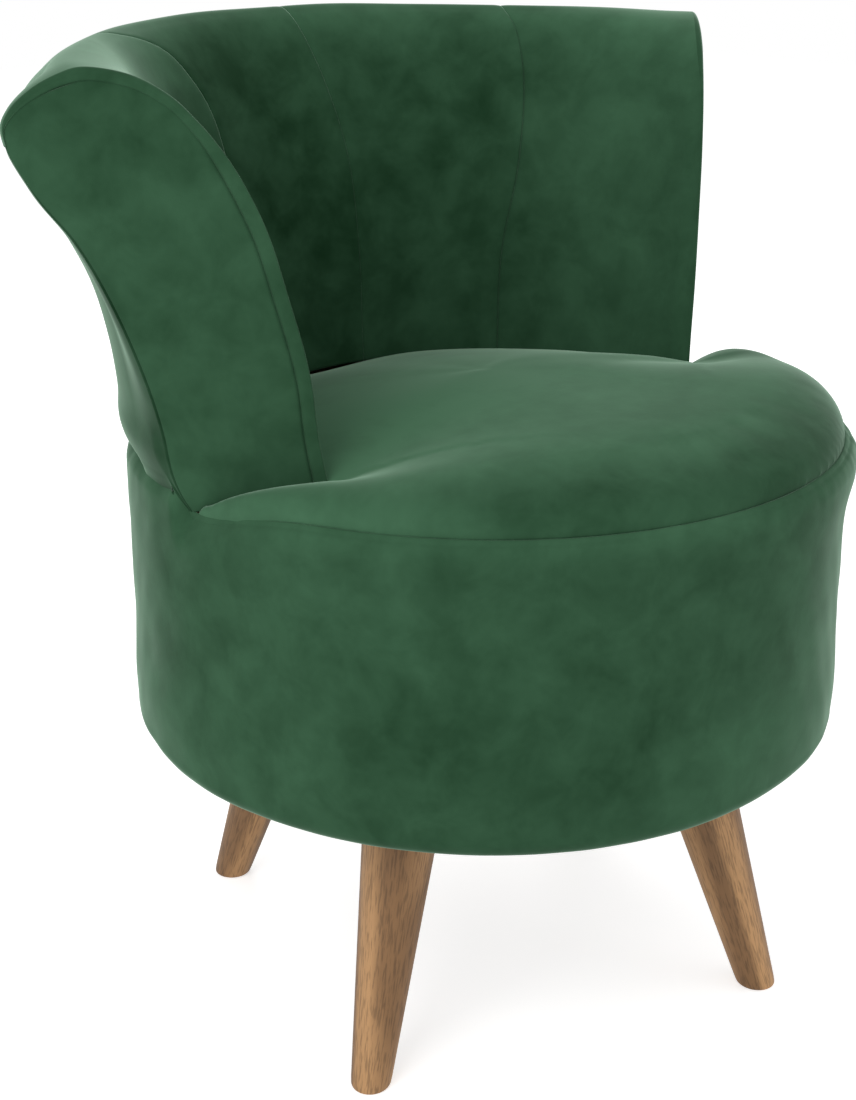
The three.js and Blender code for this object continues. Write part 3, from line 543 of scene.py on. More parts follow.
class TUB_PG_covers(bpy.types.PropertyGroup):
    """Sizes of the covers that lie over the padding."""
    thickness: length("Thickness", "Velvet with the wadding sewn to it", 0.006)
    seam_depth: length("Seam depth", "How far a sewn seam pulls the cover in", 0.0010)
    seam_width: length("Seam width", "Half the width of the hollow along a seam", 0.0040)
    fullness: length("Fullness", "How far the inside cover stands out over its foam", 0.0030)
    edge_inner: length("Edge, inner", "Rounding of a facing's edge by the sitter", 0.0012)
    edge_top: length("Edge, top", "Rounding of a facing's edge over the top", 0.0040)
    strip_inner: length("Facing strip, inner", "Width of a facing's border by the sitter", 0.0130)
    strip_top: length("Facing strip, top", "Width of a facing's border over the top", 0.0095)
    facing_bulge: length("Facing bulge", "How far a facing swells between its seams", 0.0035)


class TUB_PG_drum(bpy.types.PropertyGroup):
    """Sizes of the drum's padded band."""
    edge_radius: length("Edge radius", "Rounding of the drum's bottom edge", 0.0130)
    hem: length("Hem", "Width of the hem turned in below", 0.0140)
    shoulder: length("Shoulder", "Rounding from the side to the roll at the seam", 0.0215)
    lip_radius: length("Lip radius", "Radius of the small roll into the seam", 0.0016)


class TUB_PG_seat(bpy.types.PropertyGroup):
    """Sizes of the seat pad."""
    crown: length("Crown", "Rise of the seat's middle over the seam", 0.0380)
    tuck_width: length("Tuck width", "Width of the dive under a facing", 0.2000)
    rear_tuck_width: length("Rear tuck width", "Width of the dive under the rear", 0.2400)


class TUB_PG_legs(bpy.types.PropertyGroup):
    """Sizes of the turned legs."""
    foot_radius: length("Foot radius", "Half the width of a leg at the floor", 0.0150)
    top_radius: length("Top radius", "Half the width of a leg at the drum", 0.0310)
    foot_circle: length("Foot circle", "Distance of the feet from the axis", 0.2400)
    splay: length("Splay", "How much farther out the feet stand than the tops", 0.0730)
    edge: length("Edge", "Rounding of the foot's edge", 0.0030)
    bore_radius: length("Bore radius", "Half the width of the bolt hole in the top", 0.0043)
    bore_depth: length("Bore depth", "Depth of the bolt hole", 0.0403)


class TUB_PG_colours(bpy.types.PropertyGroup):
    """Colours of the finishes that show."""
    # The dark and pale velvet colours are the ends of the mix of painted light and shade, besides
    # the random patches of pile.
    dark_pile_and_shade: bpy.props.FloatVectorProperty(
        name="Pile, dark", description="Velvet looked into along its pile",
        subtype="COLOR", default=linear("#0e2f18"), min=0, max=1)
    pale_pile_and_light: bpy.props.FloatVectorProperty(
        name="Pile, pale", description="Velvet whose pile leans to the light",
        subtype="COLOR", default=linear("#456d51"), min=0, max=1)
    pile_sheen: bpy.props.FloatVectorProperty(
        name="Pile, sheen", description="Velvet seen at a grazing angle",
        subtype="COLOR", default=linear("#b8d6c1"), min=0, max=1)
    oak_dark: bpy.props.FloatVectorProperty(
        name="Oak, dark", description="Late wood of the growth rings",
        subtype="COLOR", default=linear("#8a6642"), min=0, max=1)
    oak_pale: bpy.props.FloatVectorProperty(
        name="Oak, pale", description="Early wood of the growth rings",
        subtype="COLOR", default=linear("#bd9163"), min=0, max=1)


class TUB_PG_studio(bpy.types.PropertyGroup):
    """Camera and light."""
    lens: bpy.props.FloatProperty(
        name="Lens", description="Focal length in millimetres on a 36 mm long side",
        default=60.73, min=1)
    heading: bpy.props.FloatProperty(
        name="Heading", description="Bearing that the camera looks along, from the back's side",
        default=np.radians(44.0), unit="ROTATION")
    tilt: bpy.props.FloatProperty(
        name="Tilt", description="How far the camera looks down",
        default=np.radians(20.676), unit="ROTATION")
    place: bpy.props.FloatVectorProperty(
        name="Place", description="Where the camera stands", unit="LENGTH",
        default=(-0.995684, -1.000188, 0.867564), precision=4)
    sky: bpy.props.FloatProperty(
        name="Sky", description="Strength of the even light from all round", default=0.62, min=0)
    key: bpy.props.FloatProperty(
        name="Key", description="Power of the large lamp at the camera's left, in watts",
        default=26.0, min=0)


# ---------------------------------------------------------------- the drum

DRUM_COLUMNS = 540
WALL_GAP = 0.0008           # the band's hidden skin stands this far off the drum's wall
SIDE_SWELL = 0.0008         # and its side this far out past the seat's radius
END_GAP = 0.0015            # and both ends this far inside the drum's height
HEM_LAP = 0.0080            # how far the hem lies under the wall
SAG = (0.7, 0.040, 0.034)   # sunk padding: its share of the room, its height and its reach
LIP_SEAM_POINT = 6          # the seam is at the lip's point with this many after it
STITCH_INSET = 0.0060       # a line of stitching runs this far beside the seam
STITCH_DEPTH, STITCH_REACH = 0.0006, 0.0010
RIM_REACH = 0.060           # how far below the seam the rim gives under an arm
RIM_FULL = 0.0008           # how far the rim is full all round
KNEE_FULL = (0.0048, 46, 26)        # and at the sitter's left knee, its bearing and reach
FULL_DEPTH = (0.026, 0.022)         # depth below the seam where it is fullest, and its reach
KNEE_STRETCH = (0.0036, 42, 26)     # the whole rim's stretch there, its bearing and reach
OFF_WALL = 0.001            # the wall's skin ends this far off it, and keeps its place
REAR_START = (97, 6)        # bearing at which the overhung part begins, over which it does
REAR_SOFT = (0.0015, 0.0045, 0.020)     # how far it is drawn in, more at the seam, and the reach


def near_seam(height, reach):
    """Rises from 0 to 1 over a reach below the seam."""
    return smooth_step(1 - (SEAM_HEIGHT - height) / reach)


def left_knee(bearing):
    """How much farther out the pad and the drum's rim stand at the sitter's left knee."""
    return KNEE_STRETCH[0] * bell(bearing - KNEE_STRETCH[1], KNEE_STRETCH[2])


def arm_foot_dip(bearing):
    """From 0 to 1: how much the drum's rim gives under an arm's foot, at a bearing from the
    front. It sets in gently on the seat's side and ends in a short fold at the knot behind."""
    bearing = np.abs(bearing)
    return smooth_step((bearing - 66.0) / 30.0) ** 1.5 * (1 - smooth_step((bearing - 96.2) / 2.2))


def raised(plan, height):
    """Points of the chair over places in plan, at heights."""
    height = np.broadcast_to(height, plan.shape[:-1])
    return np.concatenate([plan, height[..., None]], -1) + [0, AXIS_Y, 0]


def drum_section(sizes):
    """Closed section (radius, height) of the drum's padded band: the hem turned in below, the
    rounded bottom edge, the side whose padding has sunk a little to the bottom, the shoulder, the
    small roll down into the seam, and the hidden inner wall back down."""
    low, high = DRUM_LOW[2] + END_GAP, DRUM_HIGH[2] - END_GAP
    inner, outer = WALL_RADIUS + WALL_GAP, SEAT_RADIUS + SIDE_SWELL
    edge, shoulder = sizes.edge_radius, sizes.shoulder
    rounded = high - shoulder * np.sqrt(0.5)
    hem = np.linspace((inner - sizes.hem + HEM_LAP, low), (outer - edge, low), 5)[:-1]
    bottom = arc((outer - edge, low + edge), edge, -90, 0, 14)
    level = np.linspace(low + edge, rounded, 70)[1:-1]
    sag = SAG[0] * (DRUM_RADIUS - outer) * bell(level - low - SAG[1], SAG[2])
    side = np.column_stack([outer + sag, level])
    bottom[:, 0] += sag[0] * np.linspace(0, 1, len(bottom)) ** 2
    top = arc((outer - shoulder, rounded), shoulder, 0, 45, 16)
    lip = arc(top[-1] - sizes.lip_radius * np.sqrt(0.5), sizes.lip_radius, 45, 180, 16)[1:]
    down = np.linspace(lip[-1], (inner + 0.0015, high - 0.011), 6)[1:]
    wall = np.linspace((inner, high - 0.016), (inner, low + 0.004), 12)
    section = np.vstack([hem, bottom, side, top, lip, down, wall])
    at = lengths_along(section)
    seam = len(section) - len(wall) - len(down) - LIP_SEAM_POINT
    outward = np.gradient(section, axis=0)[:, ::-1] * [1, -1]
    outward /= np.linalg.norm(outward, axis=1, keepdims=True)
    stitches = STITCH_DEPTH * bell(at[seam] - STITCH_INSET - at, STITCH_REACH)
    return section - outward * stitches[:, None]


class TUB_OT_drum(bpy.types.Operator):
    """Covers the drum with its padded velvet band."""
    bl_idname = "tub.drum"
    bl_label = "Drum"

    def execute(self, context):
        section = drum_section(context.scene.tub_drum)
        bearing = np.linspace(-180, 180, DRUM_COLUMNS, endpoint=False)[None, :]
        radius, height = np.repeat(section.T[..., None], DRUM_COLUMNS, axis=2)
        near_top = near_seam(height, RIM_REACH)
        outside = smooth_step((radius - WALL_RADIUS - OFF_WALL) / 0.008)
        # The rim is fullest just below the seam, and more so at the sitter's left knee.
        full = RIM_FULL + KNEE_FULL[0] * bell(bearing - KNEE_FULL[1], KNEE_FULL[2])
        full = full * bell(height - (SEAM_HEIGHT - FULL_DEPTH[0]), FULL_DEPTH[1])
        radius += full * smooth_step((radius - (SEAT_RADIUS - SEAM_INSET)) / 0.006)
        off_wall = smooth_step((radius - WALL_RADIUS - OFF_WALL) / 0.004)
        radius += left_knee(bearing) * near_seam(height, 0.045) * off_wall
        # Behind the arms the outside cover overhangs it, and its shoulder is rounder.
        behind = smooth_step((np.abs(bearing) - REAR_START[0]) / REAR_START[1])
        drawn, more, reach = REAR_SOFT
        more = more * np.clip(1 - (SEAM_HEIGHT - height) / reach, 0, 1) ** 2
        radius -= behind * outside * (drawn * near_top + more)
        dip = arm_foot_dip(bearing)
        height -= ARM_DIP * dip * near_top
        radius -= ARM_PULL * dip * near_top ** 2 * outside
        away = outwards(bearing)
        points = raised(radius[..., None] * away, height)
        swell = 0.0010 * ripple(points, 0.16, seed=11) + 0.0003 * ripple(points, 0.035, seed=12)
        pucker = 0.0004 * ripple(points * [1, 1, 0.25], 0.018, seed=13) * bell(
            height - SEAM_HEIGHT, 0.018)
        points[..., :2] += away * ((swell + pucker) * outside)[..., None]
        # Painted light and shade: paler at the rim, for painted sheen, and low down except at the
        # sitter's right, for painted light, and darker at the sitter's right front, painted shade
        # where the drum faces the camera. The ripple is uneven tone.
        low = smooth_step((SEAM_HEIGHT - 0.10 - height) / 0.09) * (1 - bell(bearing + 45, 40))
        pile = 0.46 + 0.16 * near_seam(height, 0.03) - 0.11 * bell(bearing + 48, 28) + 0.16 * low
        pile += 0.06 * ripple(points, 0.2, seed=14)
        faces = grid_faces(len(section), DRUM_COLUMNS, wrap_rows=True, wrap_columns=True)
        velvet_piece("drum_velvet", points.reshape(-1, 3), faces,
                     ["drum_cover", "drum_padding"], pile)
        return {"FINISHED"}


# ---------------------------------------------------------------- the seat

SEAT_COLUMNS = 480
SEAT_INNER_RADIUS = 0.140   # the rows inside this one are circles
FRONT_END, LINE_END = 45.0, 72.0    # way round the border where a facing's line begins and ends
SIDE_ROWS = ((0.996, 0.003), (0.985, 0.010))    # share of the border's radius, depth below it
UNDER_SHARES = (0.955, 0.80, 0.40)  # shares of it on the underside
UNDER_GAP = 0.001           # which lies this far over the springs
CROWN_POWERS = (10, 0.55)
LEFT_FULLER = (0.0055, 55, 26)      # fullness towards the sitter's left arm, bearing and reach
LEFT_CORNER = (0.0130, 76, 11)      # and in that arm's corner
LEFT_NARROWER = 0.045       # the dive under the left arm is this much narrower
REAR_SINK = (0.006, 150, 30)        # the rear foot lies lower, from a bearing on, over a width
REAR_TURN = 62.0            # bearing from the arm's corner over which the dive becomes the rear's
PINCH_REACH = 0.018         # the pad is pinched flat this near to a facing's outer foot
RIM_BAND = 0.035            # and follows the drum's rim this near to it

# The seat's rows bend on their way from the inner circle to the border, so that they come round
# in front of the facings: at each way round, the bearing and the radius of the bend.
ROW_BENDS = np.array([[0, 0, .210], [45, 50, .235], [58, 60, .215], [72, 68, .190],
                      [80, 82, .178], [180, 180, .1705]])

SIMULATION_FRAMES = 20
VOXEL = 0.005
PRESSURE, STIFFNESS, BENDING = 4.0, 12.0, 0.6
CLOTH_CAP = 0.008           # how far the simulation may move a point at most
CLOTH_FADE = 0.07           # distance from the back's foot over which it sets in
EVEN_ROUNDS = 10            # rounds that even out its finest pleats
HELD = (0.022, 0.006, 0.008)    # held this deep, this near the rim, and this near the back's foot
LAID = (0.005, 0.004, 0.002)    # laid down this near the surface, this far from the rim and foot


def rim_radius(bearing):
    """Radius of the seam round the seat, which is drawn in under each arm's outer foot."""
    return SEAT_RADIUS - SEAM_INSET - (ARM_PULL - SEAM_INSET) * arm_foot_dip(bearing)


def seat_border(share):
    """Border of the seat's plan for shares 0 to 1 round it from the front through the sitter's
    left: the drum's front arc, a facing's line, the inside of the back round to the other
    facing, and back. Also the bearing where each point's row starts on the inner circle."""
    way = 360 * share
    side = np.where(way <= 180, 1, -1)
    way = np.where(way <= 180, way, 360 - way)
    line = np.arccos(FACING_DISTANCE / OUTER_RADIUS)
    front = (FACING_TURN + np.degrees(line)) * way / FRONT_END
    outer_along = OUTER_RADIUS * np.sin(line)
    part = np.clip((way - FRONT_END) / (LINE_END - FRONT_END), 0, 1)
    along = outer_along + (INNER_ALONG - outer_along) * part
    line_bearing = FACING_TURN + np.degrees(np.arctan2(along, FACING_DISTANCE))
    rear = ARM_CORNER_BEARING + (180 - ARM_CORNER_BEARING) * (way - LINE_END) / (180 - LINE_END)
    part_of = [way < FRONT_END, way < LINE_END]
    radius = np.select(part_of, [rim_radius(front), np.hypot(along, FACING_DISTANCE)], INNER_BASE)
    bearing = np.select(part_of, [front, line_bearing], rear)
    return radius[:, None] * outwards(side * bearing), side * way


def before_facings(plan):
    """How far places in plan lie in front of the nearer facing's foot, and where along its line
    from the line's middle."""
    across, ahead = np.abs(plan[..., 0]), plan[..., 1]
    turn = np.radians(FACING_TURN)
    return (across * np.sin(turn) - ahead * np.cos(turn) - FACING_DISTANCE,
            across * np.cos(turn) + ahead * np.sin(turn))


def foot_distance(plan):
    """Distance in plan from each place on the seat to the foot of the back: to the inner arc
    where the place lies behind the arms' corners, and else to the nearer facing's line."""
    radius, bearing = polar(plan)
    out, along = before_facings(plan)
    corner = np.hypot(out, along - INNER_ALONG)
    to_line = np.where(along > INNER_ALONG, np.abs(out), corner)
    to_arc = np.where(np.abs(bearing) > ARM_CORNER_BEARING, np.abs(INNER_BASE - radius), corner)
    return np.minimum(to_line, to_arc)


def rim_distance(plan):
    """Distance in plan from each place on the seat out to the seam round it."""
    radius, bearing = polar(plan)
    return rim_radius(bearing) - radius


def seat_height(plan, sizes):
    """Height of the seat over a place: a crown with a full, steep edge, which is one less the
    tenth power of the radius's share, all to the power 0.55. Near the back it is brought down to
    the back's foot by the square of the share of a width, and near the drum's rim by as much as
    the rim gives under the arms. Close to where both meet, each counts for more the nearer its
    own line is."""
    radius, bearing = polar(plan)
    bearing, left = np.abs(bearing), plan[..., 0] > 0
    size, middle, reach = LEFT_FULLER
    fuller = size * bell(bearing - middle, reach) * left * smooth_step(radius / 0.2)
    steep, full = CROWN_POWERS
    crown = (sizes.crown + fuller) * np.clip(
        1 - (radius / rim_radius(bearing)) ** steep, 0, 1) ** full
    out, along = before_facings(plan)
    outer = np.sqrt(OUTER_RADIUS ** 2 - FACING_DISTANCE ** 2)
    crown *= 1 - bell(np.hypot(out, along - outer), PINCH_REACH)
    in_front = out > -1e-6
    size, middle, reach = REAR_SINK
    foot = np.where(in_front, facing_foot(along),
                    ARM_TUCK - size * smooth_step((bearing - middle) / reach))
    size, middle, reach = LEFT_CORNER
    foot = foot + size * bell(bearing - middle, reach) * left
    rear = smooth_step((bearing - ARM_CORNER_BEARING) / REAR_TURN)
    width = sizes.tuck_width + (sizes.rear_tuck_width - sizes.tuck_width) * rear
    width = width - LEFT_NARROWER * left * (1 - rear)
    to_foot = np.maximum(foot_distance(plan) - 0.004 * in_front, 0)
    to_rim = np.maximum(rim_distance(plan), 0)
    at_foot = np.clip(1 - to_foot / width, 0, 1) ** 2
    at_foot *= ((to_rim + 1e-6) / (0.3 * to_foot + to_rim + 1e-6)) ** (1 - rear)
    at_rim = smooth_step(1 - to_rim / RIM_BAND) * (to_foot / (to_foot + 4 * to_rim + 1e-6))
    return (SEAM_HEIGHT + crown * (1 - at_foot) + foot * at_foot
            - ARM_DIP * arm_foot_dip(bearing) * at_rim)


def seat_painted_shading(plan):
    """Painted light and shade on the seat: palest on the top towards its back, for its grazing
    sheen, and darkest in the steep band above the seam, painted shade where it faces the camera,
    most of all at the sitter's left."""
    across, ahead = plan.T
    side = smooth_step((polar(plan)[0] - 0.215) / 0.040)
    light = smooth_step((ahead - 0.25 * across + 0.20) / 0.20)
    left = smooth_step(across / 0.15)
    return (0.74 + 0.28 * light - (0.36 + 0.12 * left) * side * (1 - 0.7 * light)
            - 0.20 * smooth_step((ahead - 0.03) / 0.10))


def held(cloud):
    """True where the seat's cloth is sewn down or lies under the back."""
    plan = cloud[:, :2] - CENTRE[:2]
    deep, by_rim, by_foot = HELD
    return ((cloud[:, 2] < SEAM_HEIGHT - deep) | (rim_distance(plan) < by_rim)
            | (foot_distance(plan) < by_foot))


def laid_down(cloud, sizes):
    """The evenly remeshed points, those on the seat's top moved up or down onto its surface."""
    plan = cloud[:, :2] - CENTRE[:2]
    lift = seat_height(plan, sizes) - cloud[:, 2]
    close, off_rim, off_foot = LAID
    near = ((np.abs(lift) < close) & (rim_distance(plan) > off_rim)
            & (foot_distance(plan) > off_foot))
    return cloud + np.where(near, lift, 0)[:, None] * [0, 0, 1]


def evened(values, edges):
    """Each point's value moved half way to the mean of its neighbours', some rounds over, which
    leaves the broad swelling and takes out the finest pleats."""
    count = np.bincount(edges.ravel(), minlength=len(values))
    for _ in range(EVEN_ROUNDS):
        total = np.stack([np.bincount(edges[:, 0], values[edges[:, 1], axis], len(values))
                          + np.bincount(edges[:, 1], values[edges[:, 0], axis], len(values))
                          for axis in range(3)], -1)
        values = (values + total / count[:, None]) / 2
    return values


def numbers_of(things, label, kind, each):
    """A property of a mesh's points, edges or corners, with each one's numbers in a row."""
    flat = np.empty(len(things) * each, kind)
    things.foreach_get(label, flat)
    return flat.reshape(-1, each)


def points_of(mesh):
    """A mesh's points as rows of a numpy array."""
    return numbers_of(mesh.vertices, "co", np.float32, 3).astype(float)


def as_modified(pad):
    """A new mesh of the object as its modifiers leave it."""
    seen = pad.evaluated_get(bpy.context.evaluated_depsgraph_get())
    return bpy.data.meshes.new_from_object(seen)


def swollen(cloud, faces, sizes):
    """The seat's points and faces after a cloth simulation: remeshed evenly, blown up from inside
    for a few frames while it is held at its seams, no point moving farther than a cap, and
    subdivided once."""
    scene = bpy.context.scene
    mesh = mesh_of("seat cloth", cloud, faces)
    pad = placed("seat cloth", mesh)
    remesh = pad.modifiers.new("even", "REMESH")
    remesh.mode, remesh.voxel_size = "VOXEL", VOXEL
    even = as_modified(pad)
    pad.modifiers.clear()
    pad.data = even
    rest = laid_down(points_of(even), sizes)
    even.vertices.foreach_set("co", rest.ravel())
    group = pad.vertex_groups.new(name="held")
    group.add(np.flatnonzero(held(rest)).tolist(), 1.0, "REPLACE")
    cloth = pad.modifiers.new("cloth", "CLOTH")
    cloth.settings.vertex_group_mass = "held"
    cloth.settings.use_pressure = True
    cloth.settings.uniform_pressure_force = PRESSURE
    cloth.settings.tension_stiffness = cloth.settings.compression_stiffness = STIFFNESS
    cloth.settings.bending_stiffness = BENDING
    cloth.settings.effector_weights.gravity = 0.0
    cloth.point_cache.frame_start, cloth.point_cache.frame_end = 1, SIMULATION_FRAMES
    for moment in range(1, SIMULATION_FRAMES + 1):
        scene.frame_set(moment)
    blown = as_modified(pad)
    edges = numbers_of(even.edges, "vertices", np.int32, 2)
    move = evened(points_of(blown) - rest, edges)
    far = np.linalg.norm(move, axis=1, keepdims=True)
    move *= smooth_step(foot_distance(rest[:, :2] - CENTRE[:2]) / CLOTH_FADE)[:, None]
    pad.modifiers.clear()
    even.vertices.foreach_set("co", (rest + move * CLOTH_CAP / (CLOTH_CAP + far)).ravel())
    finer = pad.modifiers.new("finer", "SUBSURF")
    finer.levels = finer.render_levels = 1
    fine = as_modified(pad)
    result = points_of(fine), numbers_of(fine.loops, "vertex_index", np.int32, 1).reshape(-1, 4)
    scene.frame_set(1)
    bpy.data.objects.remove(pad)
    for used in (mesh, even, blown, fine):
        bpy.data.meshes.remove(used)
    return result


class TUB_OT_seat(bpy.types.Operator):
    """Makes the crowned seat pad that dives under the back and the facings."""
    bl_idname = "tub.seat"
    bl_label = "Seat"

    def execute(self, context):
        sizes = context.scene.tub_seat
        border, way = seat_border(np.linspace(0, 1, SEAT_COLUMNS, endpoint=False))
        circle = SEAT_INNER_RADIUS * outwards(way)
        disc = np.linspace(0, 1, 40)[1:, None, None] * circle
        bearing, radius = (np.interp(np.abs(way), ROW_BENDS[:, 0], column)
                           for column in ROW_BENDS[:, 1:].T)
        bend = radius[:, None] * outwards(np.where(way < 0, -1, 1) * bearing)
        part = np.sin(np.pi / 2 * np.linspace(0, 1, 46)[1:])[:, None, None]
        ring = (1 - part) ** 2 * circle + 2 * part * (1 - part) * bend + part ** 2 * border
        plan = np.concatenate([disc, ring])
        points = raised(plan, seat_height(plan, sizes))
        # The sides go down from the border into the seam, and the underside lies on the springs.
        under = SPRING_TOP + UNDER_GAP
        low = [raised(border * share, points[-1, :, 2] - depth) for share, depth in SIDE_ROWS]
        low += [raised(border * share, under) for share in UNDER_SHARES]
        points = np.concatenate([points, low])
        ends = [CENTRE + [0, 0, sizes.crown], [0, AXIS_Y, under]]
        cloud = np.vstack([points.reshape(-1, 3), ends])
        number = np.arange(SEAT_COLUMNS)
        beside = np.roll(number, -1)
        top = np.full(SEAT_COLUMNS, len(points) * SEAT_COLUMNS)
        last = top[0] - SEAT_COLUMNS
        faces = np.vstack([grid_faces(len(points), SEAT_COLUMNS, wrap_columns=True),
                           np.stack([top, beside, number, top], -1),
                           np.stack([top + 1, last + number, last + beside, top + 1], -1)])
        cloud, faces = swollen(cloud, faces, sizes)
        plan = cloud[:, :2] - CENTRE[:2]
        radius, bearing = polar(plan)
        stretch = left_knee(bearing) * smooth_step((radius - 0.20) / 0.065) * smooth_step(
            (cloud[:, 2] - (SEAM_HEIGHT - 0.012)) / 0.010) / np.maximum(radius, 0.1)
        plan += plan * stretch[:, None]
        cloud[:, :2] = plan + CENTRE[:2]
        velvet_piece("seat_velvet", cloud, faces, ["seat_cover", "seat_foam"], seat_painted_shading(plan),
                     fill=0.85)
        return {"FINISHED"}


# ---------------------------------------------------------------- the back

PANEL_ROWS, PANEL_COLUMNS = 190, 70
PANEL_PAINTED_SHADING = (0.17, 0.14, 0.17, 0.24, 0.24)     # painted light and shade of each panel, low for the shade inside the back, from the right
BORDER_COLUMNS = 12         # of a facing's rounded edge, and of the flat border up to the seam
# Painted light and shade of a facing's border, level with the facing's.
BORDER_PAINTED_SHADING = 0.42
SKIN_THICKNESS = 0.0015     # of the panels that turn round a facing's edge
CREASE = 0.0009             # depth and reach of the fine crease along a sewn seam
SEAM_LAP = 0.0012           # how far a facing's panel laps under its border
OVER_TOP = (0.72, 0.30)     # share of the way to the top where a panel begins to turn over it
STRIP_TURNS = (0.62, 0.30)  # the same for where a facing's border narrows
EDGE_TURNS = (0.70, 0.22)   # and for where its edge grows rounder
STRIP_ENDS = (0.9, 0.6)     # share of the rest over which the border ends, and by which power
FOAM_FADE = 0.018           # a panel lies close this near to a facing
PANEL_SWELL = (0.0012, 0.14, 6)     # its unevenness, its waves' length and fade in degrees
BORDER_SWELL, BORDER_CREASE = 0.0008, 0.0016


def seam_angles(along):
    """Angle of each inside seam at shares of the inside cover's length, and of both edges."""
    lines = [smooth_line(path[:, None], SEAM_LEVELS, along / TOP_STATION)[..., 0]
             for path in SEAM_PATHS]
    edge = edge_angle(along)
    return [-edge, *lines, edge]


def past(along, start_and_width):
    """Rises from 0 to 1 at a share of the way to the top of the back, over another share."""
    start, width = start_and_width
    return smooth_step((along / TOP_STATION - start) / width)


def strip_width(along, covers):
    """Width of a facing's border at shares of the outline: wide by the sitter, narrower over
    the top, and gone where the inside cover meets the outside one."""
    width = covers.strip_inner + (covers.strip_top - covers.strip_inner) * past(along, STRIP_TURNS)
    left = (COVER_SEAM_STATION - along) / (COVER_SEAM_STATION - TOP_STATION)
    return width * smooth_step(left / STRIP_ENDS[0]) ** STRIP_ENDS[1]


def facing_edge(along, side):
    """Points on the outline's edge at a facing, with the unit directions ahead along the edge and
    from it into the facing."""
    edge = back_surface(along, np.full_like(along, float(side)))
    ahead = np.gradient(edge, axis=0)
    ahead /= np.linalg.norm(ahead, axis=-1, keepdims=True)
    inward = np.cross(ahead, facing_plane(side)[1])
    centre = (edge[0] + edge[-1]) / 2 + [0, 0, ARM_RISE * 0.45]
    return edge, ahead, inward * np.sign(((centre - edge) * inward).sum())


def border_seam(along, side, covers):
    """Points on the seam between a facing's border and its panel, which laps under the border."""
    edge, _, inward = facing_edge(along, side)
    return edge + inward * np.maximum(strip_width(along, covers) - SEAM_LAP, 0)[:, None]


def border_columns(along, side, covers):
    """The inside cover's last columns, which turn round a facing's edge and run flat to the seam.
    The turn is a rational curve of the second degree between the cover and the facing's plane,
    which is a circle's arc where both meet the edge squarely. Also gives the angle of the cover
    that the turn takes away."""
    edge, ahead, inward = facing_edge(along, side)
    back = back_surface(along, np.full_like(along, 0.985 * side)) - edge
    back /= np.linalg.norm(back, axis=-1, keepdims=True)
    over = np.cross(ahead, back)
    slant = np.linalg.norm(over, axis=-1)
    over /= slant[:, None]
    over *= -np.sign((over * inward).sum(-1, keepdims=True))
    out = facing_plane(side)[1]
    meet = np.clip(over @ out, -0.97, 0.97)
    width = strip_width(along, covers)
    radius = covers.edge_inner + (covers.edge_top - covers.edge_inner) * past(along, EDGE_TURNS)
    reach = np.minimum(radius * np.sqrt((1 - meet) / (1 + meet)), 0.7 * width)
    trim = np.degrees(reach / slant / np.hypot(edge[:, 0], edge[:, 1] - AXIS_Y))
    whole = edge_angle(along)
    first = back_surface(along, side * (whole - trim) / whole)
    last = edge + inward * reach[:, None]
    share = np.linspace(0, 1, BORDER_COLUMNS + 1)[1:, None, None]
    pull = 2 * share * (1 - share) * np.sqrt((1 + meet) / 2)[:, None]
    turn = ((1 - share) ** 2 * first + pull * edge + share ** 2 * last) / (
        (1 - share) ** 2 + pull + share ** 2)
    flat = last + inward * ((width - reach)[:, None] * share)
    fading = 1 - smooth_step((along - TOP_STATION) / (NOSE_STATION - TOP_STATION))[:, None]
    lift = BORDER_SWELL * np.sin(np.pi * share) - BORDER_CREASE * fading * bell(
        (1 - share) * width[:, None], BORDER_CREASE)
    return np.concatenate([turn, flat + out * lift]).transpose(1, 0, 2), trim


def inside_panel(index, along, left, right, covers):
    """Surface, outward normals and painted light and shade of one panel between two lines of
    angles.
    over its foam, is drawn in along its seams and lies close at a facing."""
    over = past(along, OVER_TOP)[:, None]
    edge = edge_angle(along)[:, None]
    angle = left + (right - left) * eased(PANEL_COLUMNS, 0.75)
    surface = back_surface(np.broadcast_to(along[:, None], angle.shape), angle / edge)
    out = normals(surface, (PANEL_ROWS // 4, PANEL_COLUMNS // 2), -1)
    radius = np.hypot(surface[..., 0], surface[..., 1] - AXIS_Y)
    to_left, to_right = radius * np.radians(angle - left), radius * np.radians(right - angle)
    rise = covers.fullness * (1 - over) * np.ones_like(radius)
    if index in (0, 4):
        rise *= smooth_step((to_right if index else to_left) / FOAM_FADE)
    for near, seam in ((to_left, index - 1), (to_right, index)):
        if 0 <= seam < len(SEAM_STRENGTHS):
            depth = SEAM_STRENGTHS[seam] * (1 - 0.6 * over)
            rise -= depth * (covers.seam_depth * bell(near, covers.seam_width)
                             + CREASE * bell(near, CREASE))
    size, wave, fade = PANEL_SWELL
    rise += size * ripple(surface, wave, seed=21) * smooth_step((edge - np.abs(angle)) / fade)
    # Painted light and shade: the panel's own level, paler over the top and towards the far arm,
    # where light falls.
    pile = PANEL_PAINTED_SHADING[index] + 0.38 * over + 0.30 * smooth_step((angle - 38) / 40)
    # Painted light on the near roll, from its inner side on.
    roll = past(along, (0.55, 0.35))[:, None]
    pile += 0.42 * (index < 2) * roll * (1 - 0.5 * over)
    return surface + out * rise[..., None], out, pile


